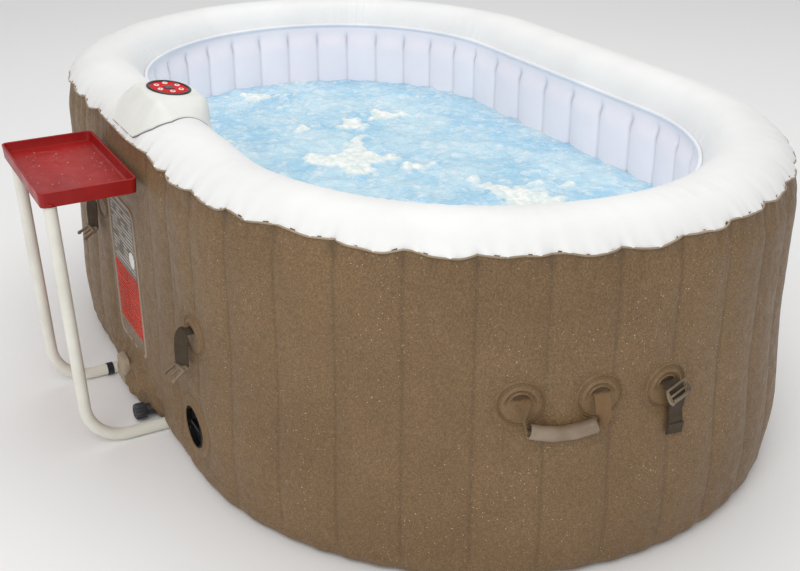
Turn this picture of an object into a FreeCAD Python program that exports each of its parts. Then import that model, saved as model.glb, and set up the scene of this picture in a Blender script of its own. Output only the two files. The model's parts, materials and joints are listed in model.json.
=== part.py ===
import FreeCAD, Part
import math
import os
import re

import Sketcher

# Two-person oval inflatable hot tub, millimetres.
# Origin: middle of the underside, on the floor. +X runs along the tub, -Y is the control side, +Z is up.
# The plan is a stadium: two straights joined by half-circle ends, all offset from the outer wall's line.

DIMENSIONS = {
    # tub
    "tub_length": 1900.0,
    "tub_width": 1240.0,
    "wall_depth": 175.0,
    "skin": 2.5,
    "seam_height": 605.0,
    "bottom_bend": 28.0,
    "rim_radius": 95.6,
    "rim_centre_inset": 82.5,
    "rim_centre_height": 558.7,
    "inner_wall_top": 581.0,
    "floor_height": 27.0,
    "base_thickness": 3.0,
    "base_inset": 22.0,
    "piping_radius": 4.0,
    "piping_height": 586.0,
    "rib_thickness": 1.2,
    "rib_bottom": 36.0,
    "rib_top": 540.0,
    "channel_size": 20.0,
    "channel_wall": 2.0,
    "channel_bottom": 70.0,
    "jet_radius": 2.0,
    # control unit in the wall and its cover over the rim
    "unit_middle": -25.0,
    "case_width": 180.0,
    "case_back": 600.0,
    "case_front": 452.0,
    "case_bottom": 60.0,
    "case_top": 590.0,
    "case_wall": 3.0,
    "saddle_bottom": 576.0,
    "saddle_top": 690.0,
    "saddle_width": 240.0,
    "saddle_top_width": 147.0,
    "saddle_outer": 640.0,
    "saddle_inner": 428.0,
    "saddle_top_outer": 570.0,
    "saddle_hem": 609.0,
    "saddle_top_inner": 447.0,
    "column_width": 190.0,
    "column_depth": 11.7,
    "column_bottom": 96.0,
    "column_top": 574.0,
    # control panel
    "panel_distance": 501.0,
    "panel_height": 674.0,
    "panel_lean": 8.0,
    "panel_roll": 5.0,
    "panel_radius": 45.0,
    "sleeve_radius": 41.0,
    "fascia_radius": 37.8,
    "fascia_thickness": 6.0,
    "button_radius": 5.6,
    "button_height": 8.5,
    "button_circle": 25.0,
    "button_gap": 0.3,
    "display_side": 19.0,
    # filter, pump, heater and blower
    "filter_height": 330.0,
    "filter_radius": 57.0,
    "pump_distance_x": -40.0,
    "pump_height": 150.0,
    "pump_radius": 38.0,
    "motor_radius": 32.0,
    "heater_x": 35.0,
    "heater_y": -530.0,
    "heater_radius": 25.0,
    "nozzle_height": 240.0,
    "nozzle_radius": 16.0,
    "blower_x": -45.0,
    "blower_y": -526.0,
    "blower_radius": 60.0,
    "blower_bottom": 480.0,
    "shaft_radius": 4.0,
    "shaft_clearance": 0.05,
    # fittings on the outer wall
    "patch_radius": 41.0,
    "patch_thickness": 2.5,
    "strap_width": 30.0,
    "strap_thickness": 2.5,
    "short_strap_length": 63.0,
    "long_strap_length": 92.0,
    "prong_drop": 66.0,
    "prong_lean": 65.0,
    "prong_length": 30.0,
    "prong_thickness": 6.0,
    "ladder_drop": 14.0,
    "ladder_side": 8.0,
    "ladder_width": 38.0,
    "ladder_height": 26.0,
    "ladder_bar": 5.0,
    "pivot_standoff": 9.0,
    "handle_spacing": 132.0,
    "handle_drop": 46.0,
    "webbing_width": 25.0,
    "webbing_thickness": 2.5,
    "grip_length": 118.0,
    "grip_radius": 12.5,
    "grip_bore": 9.0,
    "port_x": 347.0,
    "port_height": 117.0,
    "port_radius": 43.0,
    "drain_x": 88.0,
    "drain_height": 22.0,
    "drain_reach": 44.0,
    "drain_cap_radius": 18.0,
    "drain_cap_length": 24.0,
    "drain_neck_radius": 13.0,
    "gland_x": -52.0,
    "gland_height": 54.0,
    "gland_radius": 22.0,
    "label_left": -140.0,
    "label_width": 185.0,
    "label_bottom": 110.0,
    "label_height": 340.0,
    "label_thickness": 1.6,
    # drinks tray and its two bent legs
    "tray_left": -172.0,
    "tray_length": 334.0,
    "tray_outer": 818.0,
    "tray_depth": 186.0,
    "tray_bottom": 535.0,
    "tray_height": 30.0,
    "tray_floor": 542.0,
    "tray_wall": 3.0,
    "leg_radius": 12.5,
    "leg_bore": 10.9,
    "leg_bend": 85.0,
    "leg_distance": 783.0,
    "leg_lean": 14.0,
    "leg_end": 456.0,
    "leg_height": 14.0,
    "leg_near_x": 145.0,
    "leg_far_x": -138.0,
}

TUB_RADIUS = "(tub_width / 2)"
HALF_STRAIGHT = "((tub_length - tub_width) / 2)"

document = FreeCAD.newDocument("inflatable_hot_tub")
sheet = document.addObject("Spreadsheet::Sheet", "Sizes")
for row, (alias, value) in enumerate(DIMENSIONS.items(), start=1):
    sheet.set(f"A{row}", alias)
    sheet.set(f"B{row}", str(value))
    sheet.setAlias(f"B{row}", alias)
document.recompute()

BASE = ("Placement.Base.x", "Placement.Base.y", "Placement.Base.z")
AXIS_TURN = {
    "X": FreeCAD.Rotation(FreeCAD.Vector(0, 1, 0), 90),
    "Y": FreeCAD.Rotation(FreeCAD.Vector(1, 0, 0), -90),
    "Z": FreeCAD.Rotation(),
}
nodes = []


def size(alias):
    """The sheet's value for one named size."""
    return float(sheet.get(alias))


def in_sheet(formula):
    """The formula with each size's name pointed at the spreadsheet."""
    return re.sub(r"[a-z_]+",
                  lambda word: f"Sizes.{word.group()}" if word.group() in DIMENSIONS else word.group(),
                  str(formula))


def bind(item, path, formula):
    item.setExpression(path, in_sheet(formula))


def bind_base(item, corner):
    for path, formula in zip(BASE, corner):
        bind(item, path, formula)


def node(item, label, place=None):
    """Registers a finished sub-part under the name of its file."""
    if place is not None:
        item.Placement = place
    item.Label = label
    nodes.append(item)
    return item


# ---------------------------------------------------------------- primitives

def box(name, corner, lengths):
    item = document.addObject("Part::Box", name)
    for path, formula in zip(("Length", "Width", "Height"), lengths):
        bind(item, path, formula)
    bind_base(item, corner)
    return item


def rod(name, radius, length, start, axis="Z"):
    """A cylinder that grows from start along +axis."""
    item = document.addObject("Part::Cylinder", name)
    item.Placement = FreeCAD.Placement(FreeCAD.Vector(), AXIS_TURN[axis])
    bind(item, "Radius", radius)
    bind(item, "Height", length)
    bind_base(item, start)
    return item


def tube(name, outer, inner, length, start, axis="Z"):
    solid = rod(name + "_outside", outer, length, start, axis)
    bore = rod(name + "_bore", inner, length, start, axis)
    return cut(name, solid, bore)


def fuse(name, *items):
    item = document.addObject("Part::MultiFuse", name)
    item.Shapes = list(items)
    return item


def group(name, *items):
    item = document.addObject("Part::Compound", name)
    item.Links = list(items)
    return item


def cut(name, base, *tools):
    item = document.addObject("Part::Cut", name)
    item.Base = base
    item.Tool = tools[0] if len(tools) == 1 else group(name + "_tools", *tools)
    return item


# ------------------------------------------------------------------- bodies

def body_with_sketch(name, role):
    """A body with one sketch on the origin plane of that role."""
    body = document.addObject("PartDesign::Body", name)
    return body, sketch_in(body, role, name + "_sketch")


def sketch_in(body, role, name):
    sketch = body.newObject("Sketcher::SketchObject", name)
    plane = next(item for item in body.Origin.OriginFeatures if item.Role == role)
    sketch.AttachmentSupport = [(plane, "")]
    sketch.MapMode = "FlatFace"
    return sketch


def present_value(sketch, kind, where):
    """What a dimension measures as drawn, before the sheet's value reaches it."""
    if kind == "Radius":
        return sketch.Geometry[where[0]].Radius
    span = sketch.getPoint(where[2], where[3]) - sketch.getPoint(where[0], where[1])
    return span.x if kind == "DistanceX" else span.y


def held(sketch, kind, *where, formula):
    """Adds a dimension whose value comes from the sheet."""
    index = sketch.addConstraint(Sketcher.Constraint(kind, *where, present_value(sketch, kind, where)))
    bind(sketch, f"Constraints[{index}]", formula)


def stadium(sketch, radius, start_value):
    """Two straights and two half circles about the sketch's origin."""
    half = (size("tub_length") - size("tub_width")) / 2
    up = FreeCAD.Vector(0, 0, 1)
    corner = FreeCAD.Vector(half, start_value, 0)
    right = Part.Circle(FreeCAD.Vector(half, 0, 0), up, start_value)
    left = Part.Circle(FreeCAD.Vector(-half, 0, 0), up, start_value)
    front = sketch.addGeometry(Part.LineSegment(-corner, FreeCAD.Vector(half, -start_value, 0)))
    east = sketch.addGeometry(Part.ArcOfCircle(right, -math.pi / 2, math.pi / 2))
    back = sketch.addGeometry(Part.LineSegment(corner, FreeCAD.Vector(-half, start_value, 0)))
    west = sketch.addGeometry(Part.ArcOfCircle(left, math.pi / 2, 3 * math.pi / 2))
    for first, second in ((front, east), (east, back), (back, west), (west, front)):
        sketch.addConstraint(Sketcher.Constraint("Tangent", first, 2, second, 1))
    sketch.addConstraint(Sketcher.Constraint("Horizontal", front))
    sketch.addConstraint(Sketcher.Constraint("PointOnObject", east, 3, -1))
    sketch.addConstraint(Sketcher.Constraint("PointOnObject", west, 3, -1))
    held(sketch, "DistanceX", -1, 1, east, 3, formula=HALF_STRAIGHT)
    held(sketch, "DistanceX", west, 3, -1, 1, formula=HALF_STRAIGHT)
    held(sketch, "Radius", east, formula=radius)


def stadium_plate(name, radius, bottom, thickness, bore=None):
    """A flat or tall pad with the tub's plan at one offset, open in the middle when bore is given."""
    body, sketch = body_with_sketch(name, "XY_Plane")
    start_value = size("tub_width") / 2
    stadium(sketch, radius, start_value)
    if bore is not None:
        stadium(sketch, bore, start_value / 2)
    pad = body.newObject("PartDesign::Pad", name + "_pad")
    pad.Profile = sketch
    bind(pad, "Length", thickness)
    bind(body, "Placement.Base.z", bottom)
    return body


def stadium_sweep(name, draw_profile):
    """A profile in the YZ plane carried once round the tub's outer line."""
    body, profile = body_with_sketch(name, "YZ_Plane")
    path = sketch_in(body, "XY_Plane", name + "_path")
    stadium(path, TUB_RADIUS, size("tub_width") / 2)
    draw_profile(profile)
    document.recompute()
    pipe = body.newObject("PartDesign::AdditivePipe", name + "_pipe")
    pipe.Profile = profile
    pipe.Spine = (path, ["Edge1", "Edge2", "Edge3", "Edge4"])
    return body


def fixed_circle(sketch, across, height, radius, start):
    """A circle whose middle and radius are held by the sheet; start is where it begins before solving."""
    middle = FreeCAD.Vector(start[0], start[1], 0)
    circle = sketch.addGeometry(Part.Circle(middle, FreeCAD.Vector(0, 0, 1), start[2]))
    held(sketch, "DistanceX", -1, 1, circle, 3, formula=across)
    held(sketch, "DistanceY", -1, 1, circle, 3, formula=height)
    held(sketch, "Radius", circle, formula=radius)


def polygon(name, corners, thickness):
    """A plate drawn in the YZ plane by its corners and padded evenly to both sides along X."""
    body, sketch = body_with_sketch(name, "YZ_Plane")
    count = len(corners)
    turns = [2 * math.pi * index / count for index in range(count)]
    rough = [FreeCAD.Vector(50 * math.cos(turn), 50 * math.sin(turn), 0) for turn in turns]
    for index in range(count):
        sketch.addGeometry(Part.LineSegment(rough[index], rough[(index + 1) % count]))
    for index in range(count):
        sketch.addConstraint(Sketcher.Constraint("Coincident", index, 2, (index + 1) % count, 1))
    for index, (across, height) in enumerate(corners):
        held(sketch, "DistanceX", -1, 1, index, 1, formula=across)
        held(sketch, "DistanceY", -1, 1, index, 1, formula=height)
    pad = body.newObject("PartDesign::Pad", name + "_pad")
    pad.Profile = sketch
    pad.Midplane = True
    bind(pad, "Length", thickness)
    return body


def bent_tube(name, across, top, lean, down, end, low, radius, bore, bend):
    """A tube down from its top, which is further out by lean, through one bend and on along +Y."""
    body, path = body_with_sketch(name, "YZ_Plane")
    corner = FreeCAD.Vector(-500, 50, 0)
    turn = Part.Circle(corner + FreeCAD.Vector(20, 20, 0), FreeCAD.Vector(0, 0, 1), 20)
    upright = path.addGeometry(Part.LineSegment(corner + FreeCAD.Vector(0, 300, 0),
                                                corner + FreeCAD.Vector(0, 20, 0)))
    curve = path.addGeometry(Part.ArcOfCircle(turn, math.pi, 3 * math.pi / 2))
    foot = path.addGeometry(Part.LineSegment(corner + FreeCAD.Vector(20, 0, 0),
                                             corner + FreeCAD.Vector(80, 0, 0)))
    path.addConstraint(Sketcher.Constraint("Horizontal", foot))
    path.addConstraint(Sketcher.Constraint("Tangent", upright, 2, curve, 1))
    path.addConstraint(Sketcher.Constraint("Tangent", curve, 2, foot, 1))
    held(path, "Radius", curve, formula=bend)
    held(path, "DistanceX", curve, 3, -1, 1, formula=f"{down} - {bend}")
    held(path, "DistanceX", upright, 1, -1, 1, formula=f"{down} + {lean}")
    held(path, "DistanceY", -1, 1, upright, 1, formula=top)
    held(path, "DistanceX", foot, 2, -1, 1, formula=end)
    held(path, "DistanceY", -1, 1, foot, 2, formula=low)
    section = sketch_in(body, "XY_Plane", name + "_section")
    bind(section, "AttachmentOffset.Base.z", top)
    for radius_formula, start in ((radius, 12), (bore, 8)):
        fixed_circle(section, "0", f"-({down} + {lean})", radius_formula, (0, -500, start))
    document.recompute()
    pipe = body.newObject("PartDesign::AdditivePipe", name + "_pipe")
    pipe.Profile = section
    pipe.Spine = (path, ["Edge1", "Edge2", "Edge3"])
    bind(body, "Placement.Base.x", across)
    return body


# ---------------------------------------------------------------- tub skins

def outer_wall_profile(sketch):
    """A thin upright skin whose foot turns under the tub in a quarter circle."""
    radius = size("tub_width") / 2
    bend = size("bottom_bend")
    skin = size("skin")
    top = size("seam_height")
    height = size("base_thickness") + bend
    up = FreeCAD.Vector(0, 0, 1)
    middle = FreeCAD.Vector(-radius + bend, height, 0)

    def arc(reach):
        return Part.ArcOfCircle(Part.Circle(middle, up, reach), math.pi, 3 * math.pi / 2)

    outer = sketch.addGeometry(arc(bend))
    inner = sketch.addGeometry(arc(bend - skin))
    outside = sketch.addGeometry(Part.LineSegment(FreeCAD.Vector(-radius, top, 0),
                                                  FreeCAD.Vector(-radius, height, 0)))
    inside = sketch.addGeometry(Part.LineSegment(FreeCAD.Vector(-radius + skin, top, 0),
                                                 FreeCAD.Vector(-radius + skin, height, 0)))
    lip = sketch.addGeometry(Part.LineSegment(FreeCAD.Vector(-radius, top, 0),
                                              FreeCAD.Vector(-radius + skin, top, 0)))
    toe = sketch.addGeometry(Part.LineSegment(FreeCAD.Vector(middle.x, height - bend, 0),
                                              FreeCAD.Vector(middle.x, height - bend + skin, 0)))
    sketch.addConstraint(Sketcher.Constraint("Tangent", outside, 2, outer, 1))
    sketch.addConstraint(Sketcher.Constraint("Tangent", inside, 2, inner, 1))
    sketch.addConstraint(Sketcher.Constraint("Coincident", outer, 3, inner, 3))
    sketch.addConstraint(Sketcher.Constraint("Coincident", outside, 1, lip, 1))
    sketch.addConstraint(Sketcher.Constraint("Coincident", inside, 1, lip, 2))
    sketch.addConstraint(Sketcher.Constraint("Coincident", outer, 2, toe, 1))
    sketch.addConstraint(Sketcher.Constraint("Coincident", inner, 2, toe, 2))
    sketch.addConstraint(Sketcher.Constraint("Vertical", outside))
    sketch.addConstraint(Sketcher.Constraint("Horizontal", lip))
    sketch.addConstraint(Sketcher.Constraint("Vertical", toe))
    held(sketch, "Radius", outer, formula="bottom_bend")
    held(sketch, "Radius", inner, formula="bottom_bend - skin")
    held(sketch, "DistanceX", outer, 3, -1, 1, formula=f"{TUB_RADIUS} - bottom_bend")
    held(sketch, "DistanceY", -1, 1, outer, 3, formula="base_thickness + bottom_bend")
    held(sketch, "DistanceY", -1, 1, outside, 1, formula="seam_height")


def rim_profile(sketch):
    """A thin arch from the outer seam over the crown to the inner edge."""
    reach = size("tub_width") / 2
    inset = size("rim_centre_inset")
    radius = size("rim_radius")
    middle = FreeCAD.Vector(-reach + inset, size("rim_centre_height"), 0)
    up = FreeCAD.Vector(0, 0, 1)
    left = math.pi - math.acos(inset / radius)
    right = math.acos((size("wall_depth") - inset) / radius)
    skins = []
    for arch in (radius, radius - size("skin")):
        skins.append(Part.ArcOfCircle(Part.Circle(middle, up, arch), right, left))
    outer, inner = (sketch.addGeometry(arch) for arch in skins)
    low = sketch.addGeometry(Part.LineSegment(skins[0].StartPoint, skins[1].StartPoint))
    high = sketch.addGeometry(Part.LineSegment(skins[0].EndPoint, skins[1].EndPoint))
    sketch.addConstraint(Sketcher.Constraint("Coincident", outer, 3, inner, 3))
    for end, line in ((1, low), (2, high)):
        sketch.addConstraint(Sketcher.Constraint("Coincident", outer, end, line, 1))
        sketch.addConstraint(Sketcher.Constraint("Coincident", inner, end, line, 2))
        sketch.addConstraint(Sketcher.Constraint("PointOnObject", outer, 3, line))
    held(sketch, "Radius", outer, formula="rim_radius")
    held(sketch, "Radius", inner, formula="rim_radius - skin")
    held(sketch, "DistanceX", outer, 3, -1, 1, formula=f"{TUB_RADIUS} - rim_centre_inset")
    held(sketch, "DistanceY", -1, 1, outer, 3, formula="rim_centre_height")
    held(sketch, "DistanceX", outer, 1, -1, 1, formula=f"{TUB_RADIUS} - wall_depth")
    held(sketch, "DistanceX", outer, 2, -1, 1, formula=TUB_RADIUS)


def ring_profile(inset, height, radius, start):
    """A round section at one inset and height, for a bead or a clearance tube."""
    def draw(sketch):
        fixed_circle(sketch, f"-({TUB_RADIUS} - ({inset}))", height, radius, start)
    return draw


def foot_channel(name, across):
    """The groove under the tub that one foot of the tray stand slides in."""
    return box(name, (f"{across} - leg_radius - 3", "-leg_distance", "-1"),
               ("2 * leg_radius + 6", "leg_distance - leg_end + 8", "leg_height + leg_radius + 4"))


def foot_channels(name):
    return foot_channel(name + "_near_groove", "leg_near_x"), foot_channel(name + "_far_groove", "leg_far_x")


def build_skins():
    outer = stadium_sweep("outer_wall_skin", outer_wall_profile)
    wall_holes = (
        rod("port_hole", "port_radius + 0.3", "40", ("port_x", "-tub_width / 2 - 20", "port_height"), "Y"),
        rod("drain_hole", "drain_neck_radius - 3", "60", ("drain_x", "-tub_width / 2 - 20", "drain_height"),
            "Y"),
        rod("cord_hole", "8", "40", ("gland_x", "-tub_width / 2 - 20", "gland_height"), "Y"),
    )
    node(cut("outer_wall_cut", outer, *foot_channels("outer_wall"), *wall_holes), "outer_wall")

    inner = stadium_plate("inner_wall_skin", f"{TUB_RADIUS} - wall_depth + skin", "floor_height",
                          "inner_wall_top - floor_height", bore=f"{TUB_RADIUS} - wall_depth")
    node(cut("inner_wall_cut", inner, *front_holes("inner_wall")), "inner_wall")

    rim = stadium_sweep("top_rim_skin", rim_profile)
    cable_hole = rod("rim_cable_hole", "30", "60", ("unit_middle", "-panel_distance", "620"))
    node(cut("top_rim_cut", rim, cable_hole), "top_rim")

    bead = ring_profile("wall_depth + piping_radius", "piping_height", "piping_radius", (-441, 586, 4))
    node(stadium_sweep("piping_body", bead), "inner_piping")

    base = stadium_plate("base_plate", f"{TUB_RADIUS} - base_inset", "0", "base_thickness")
    node(cut("base_cut", base, *foot_channels("base")), "base_sheet")
    node(stadium_plate("pad_plate", f"{TUB_RADIUS} - wall_depth - 5", "base_thickness",
                       "floor_height - base_thickness - skin"), "floor_pad")
    node(stadium_plate("floor_plate", f"{TUB_RADIUS} - wall_depth + skin", "floor_height - skin", "skin"),
         "floor_liner")


def front_holes(name):
    """Round openings through the tub's inner face for the filter, the water return and the air hose."""
    return (
        rod(name + "_filter_hole", "filter_radius + 0.3", "60", ("unit_middle", "-480", "filter_height"),
            "Y"),
        rod(name + "_return_hole", "nozzle_radius + 0.3", "60", ("heater_x", "-480", "nozzle_height"), "Y"),
        rod(name + "_air_hole", "9.3", "60", ("blower_x - 50", "-480", "channel_bottom + channel_size / 2"),
            "Y"),
    )


STRAIGHT_RIBS = (-275.0, -165.0, -55.0, 55.0, 165.0, 275.0)
RIBS_PER_END = 17
RIB_STEP_DEGREES = 10.6
RIB_PHASE_DEGREES = 0.8


def build_ribs():
    """Upright webs inside the air chamber that tie the two walls together at every seam."""
    half = (size("tub_length") - size("tub_width")) / 2
    case_left = size("unit_middle") - size("case_width") / 2
    case_right = size("unit_middle") + size("case_width") / 2
    places = []
    for along in STRAIGHT_RIBS:
        places.append((along, 90.0))
        if not case_left - 10 < along < case_right + 10:
            places.append((along, -90.0))
    for index in range(RIBS_PER_END):
        turn = (index - RIBS_PER_END // 2) * RIB_STEP_DEGREES + RIB_PHASE_DEGREES
        places.append((half, turn))
        places.append((-half, turn + 180.0))
    ribs = []
    for index, (along, turn) in enumerate(places):
        name = f"rib_{index + 1}"
        rib = box(name, (f"{TUB_RADIUS} - wall_depth + skin + 0.3", "-rib_thickness / 2", "rib_bottom"),
                  ("wall_depth - 2 * skin - 0.6", "rib_thickness", "rib_top - rib_bottom"))
        ribs.append(group(name + "_placed", rib))
        ribs[-1].Placement = FreeCAD.Placement(FreeCAD.Vector(along, 0, 0),
                                               FreeCAD.Rotation(FreeCAD.Vector(0, 0, 1), turn))
    node(group("ribs", *ribs), "wall_ribs")


JETS_PER_END = 9
JETS_PER_STRAIGHT = 5
JET_SPACING = 110.0


def build_bubble_channel():
    """A hollow square tube round the foot of the inner wall with a row of small air jets."""
    inner_radius = f"{TUB_RADIUS} - wall_depth"
    shell = stadium_plate("channel_shell", inner_radius, "channel_bottom", "channel_size",
                          bore=f"{inner_radius} - channel_size")
    hollow = stadium_plate("channel_hollow", f"{inner_radius} - channel_wall",
                           "channel_bottom + channel_wall",
                           "channel_size - 2 * channel_wall",
                           bore=f"{inner_radius} - channel_size + channel_wall")
    half = (size("tub_length") - size("tub_width")) / 2
    reach = size("tub_width") / 2 - size("wall_depth") - size("channel_size") - 1
    height = size("channel_bottom") + size("channel_size") / 2
    places = []
    for index in range(JETS_PER_STRAIGHT):
        along = (index - JETS_PER_STRAIGHT // 2) * JET_SPACING
        places.append((along, 90.0))
        places.append((along, -90.0))
    for index in range(JETS_PER_END):
        turn = (index - JETS_PER_END // 2) * 20.0
        places.append((half, turn))
        places.append((-half, turn + 180.0))
    jets = []
    for index, (along, turn) in enumerate(places):
        jet = document.addObject("Part::Cylinder", f"jet_{index + 1}")
        bind(jet, "Radius", "jet_radius")
        bind(jet, "Height", "channel_wall + 2")
        spin = FreeCAD.Rotation(FreeCAD.Vector(0, 0, 1), turn)
        out = spin.multVec(FreeCAD.Vector(reach, 0, 0))
        jet.Placement = FreeCAD.Placement(FreeCAD.Vector(along + out.x, out.y, height), spin * AXIS_TURN["X"])
        jets.append(jet)
    inlet = rod("channel_inlet", "7", "10", ("blower_x - 50", "-450", "channel_bottom + channel_size / 2"),
                "Y")
    node(cut("channel_cut", shell, hollow, inlet, *jets), "bubble_channel")


# ------------------------------------------------------------- control unit

def saddle_wedge(name, inset):
    """The cover's tapered block, smaller all round by inset."""
    item = document.addObject("Part::Wedge", name)
    item.Placement = FreeCAD.Placement(FreeCAD.Vector(), FreeCAD.Rotation(FreeCAD.Vector(1, 0, 0), 90))
    for path, formula in {
        "Xmin": "unit_middle - saddle_width / 2 + {0}", "Xmax": "unit_middle + saddle_width / 2 - {0}",
        "X2min": "unit_middle - saddle_top_width / 2 + {0}",
        "X2max": "unit_middle + saddle_top_width / 2 - {0}",
        "Zmin": "saddle_inner + {0}", "Zmax": "saddle_outer - {0}",
        "Z2min": "saddle_top_inner + {0}", "Z2max": "saddle_top_outer - {0}",
        "Ymin": "saddle_bottom", "Ymax": "saddle_top - {0}",
    }.items():
        bind(item, path, formula.format(inset))
    return item


def panel_place():
    """The lean of the control panel about the middle of its underside, towards the basin and the +X end."""
    middle = FreeCAD.Vector(size("unit_middle"), -size("panel_distance"), size("panel_height"))
    turn = FreeCAD.Rotation(0, size("panel_roll"), -size("panel_lean"))
    return FreeCAD.Placement(FreeCAD.Vector(), turn, middle)


def top_trim(name, below):
    """The room above the saddle's leaning top face, from below under it."""
    room = box(name + "_room", ("unit_middle - 200", "-panel_distance - 200", f"panel_height - {below}"),
               ("400", "400", "60"))
    return placed(name, room, panel_place())


def build_covers():
    """The saddle over the rim and the column cover on the inner wall below it."""
    rim_clearance = stadium_sweep("saddle_rim_clearance", ring_profile(
        "rim_centre_inset", "rim_centre_height", "rim_radius + 0.4", (-537, 558, 96)))
    bead_clearance = stadium_sweep("saddle_bead_clearance", ring_profile(
        "wall_depth + piping_radius", "piping_height", "piping_radius + 0.4", (-441, 586, 4.4)))
    sleeve_room = rod("saddle_sleeve_room", "sleeve_radius + 0.2", "40",
                      ("unit_middle", "-panel_distance", "panel_height - 20"))
    panel_hole = placed("saddle_panel_hole", sleeve_room, panel_place())
    block = cut("saddle_leaning_block", saddle_wedge("saddle_block", "0"), top_trim("saddle_top_trim", "0"))
    hollow = cut("saddle_leaning_hollow", saddle_wedge("saddle_hollow", "case_wall"),
                 top_trim("saddle_hollow_trim", "case_wall"))
    hem_trim = box("saddle_hem_trim", ("unit_middle - saddle_width", "-saddle_outer - 10",
                                       "saddle_bottom - 10"),
                   ("2 * saddle_width", "80", "saddle_hem - saddle_bottom + 10"))
    node(cut("saddle_cut", block, hollow, rim_clearance, bead_clearance, panel_hole, hem_trim),
         "control_saddle")

    left = "unit_middle - column_width / 2"
    back = f"-({TUB_RADIUS} - wall_depth) + 0.3"
    block = box("column_block", (left, back, "column_bottom"),
                ("column_width", "column_depth", "column_top - column_bottom"))
    hollow = box("column_hollow", (f"{left} + skin", f"{back} - 1", "column_bottom + skin"),
                 ("column_width - 2 * skin", "column_depth - skin + 1", "column_top - column_bottom - 2 * skin"))
    node(cut("column_cut", block, hollow, *front_holes("column")[:2]), "inner_column")

    left = "unit_middle - case_width / 2"
    outside = box("case_block", (left, "-case_back", "case_bottom"),
                  ("case_width", "case_back - case_front", "case_top - case_bottom"))
    inside = box("case_hollow", (f"{left} + case_wall", "-case_back + case_wall", "case_bottom + case_wall"),
                 ("case_width - 2 * case_wall", "case_back - case_front - 2 * case_wall",
                  "case_top - case_bottom - 2 * case_wall"))
    cable = rod("case_cable_hole", "8", "20", ("unit_middle", "-panel_distance", "case_top - 10"))
    cord = rod("case_cord_hole", "8", "20", ("gland_x", "-case_back - 10", "gland_height + 24"), "Y")
    node(cut("case_cut", outside, inside, cable, cord, *front_holes("case")), "machine_case")


BUTTON_NAMES = ("button_power", "button_heat", "button_bubbles", "button_up", "button_filter", "button_down")
BUTTON_PHASE_DEGREES = 0.0


def button_start(index):
    """Where a button stands: six of them on one circle round the display."""
    turn = BUTTON_PHASE_DEGREES + 60.0 * index
    return (f"unit_middle + button_circle * cos({turn} deg)",
            f"-panel_distance + button_circle * sin({turn} deg)")


def build_panel():
    """The round control panel, drawn level and then leaned as one."""
    middle = ("unit_middle", "-panel_distance")
    place = panel_place()
    flange = tube("bezel_flange", "panel_radius", "sleeve_radius - 3", "2.5", (*middle, "panel_height"))
    sleeve = tube("bezel_sleeve", "sleeve_radius", "sleeve_radius - 3", "18", (*middle, "panel_height - 18"))
    node(fuse("bezel", flange, sleeve), "panel_bezel", place)

    face = rod("fascia_disc", "fascia_radius", "fascia_thickness",
               (*middle, "panel_height + 1 - fascia_thickness"))
    holes = []
    for index in range(len(BUTTON_NAMES)):
        holes.append(rod(f"fascia_hole_{index + 1}", "button_radius + button_gap", "20",
                         (*button_start(index), "panel_height - 12")))
    corner = ("unit_middle - display_side / 2 - 0.2", "-panel_distance - display_side / 2 - 0.2",
              "panel_height - 2")
    pocket = box("display_pocket", corner, ("display_side + 0.4", "display_side + 0.4", "10"))
    node(cut("fascia", face, pocket, *holes), "panel_fascia", place)

    corner = ("unit_middle - display_side / 2", "-panel_distance - display_side / 2", "panel_height - 2")
    window = box("display", corner, ("display_side", "display_side", "3.2"))
    node(placed("display_leaning", window, place), "display_window")

    board = rod("board", "sleeve_radius - 4", "1.6", (*middle, "panel_height - 16"))
    node(placed("board_leaning", board, place), "control_board")
    for index, name in enumerate(BUTTON_NAMES):
        start = (*button_start(index), "panel_height + 2.5 - button_height")
        cap = rod(name + "_cap", "button_radius", "button_height", start)
        node(placed(name + "_leaning", cap, place), name)


def build_filter():
    cup = rod("filter_cup", "filter_radius", "156", ("unit_middle", "-590", "filter_height"), "Y")
    room = rod("filter_room", "filter_radius - 3", "160", ("unit_middle", "-587", "filter_height"), "Y")
    node(cut("filter_housing_cut", cup, room), "filter_housing")
    node(tube("cartridge", "filter_radius - 9", "20", "140", ("unit_middle", "-580", "filter_height"), "Y"),
         "filter_cartridge")
    face = rod("grille_disc", "filter_radius - 3.5", "10", ("unit_middle", "-439.7", "filter_height"), "Y")
    slots = []
    for index in range(-2, 3):
        slots.append(box(f"grille_slot_{index + 3}",
                         (f"unit_middle - 30 + {abs(index)} * 4", "-445",
                          f"filter_height - 4 + {index} * 16"),
                         (f"60 - {abs(index)} * 8", "30", "8")))
    node(cut("grille", face, *slots), "filter_grille")


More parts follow.
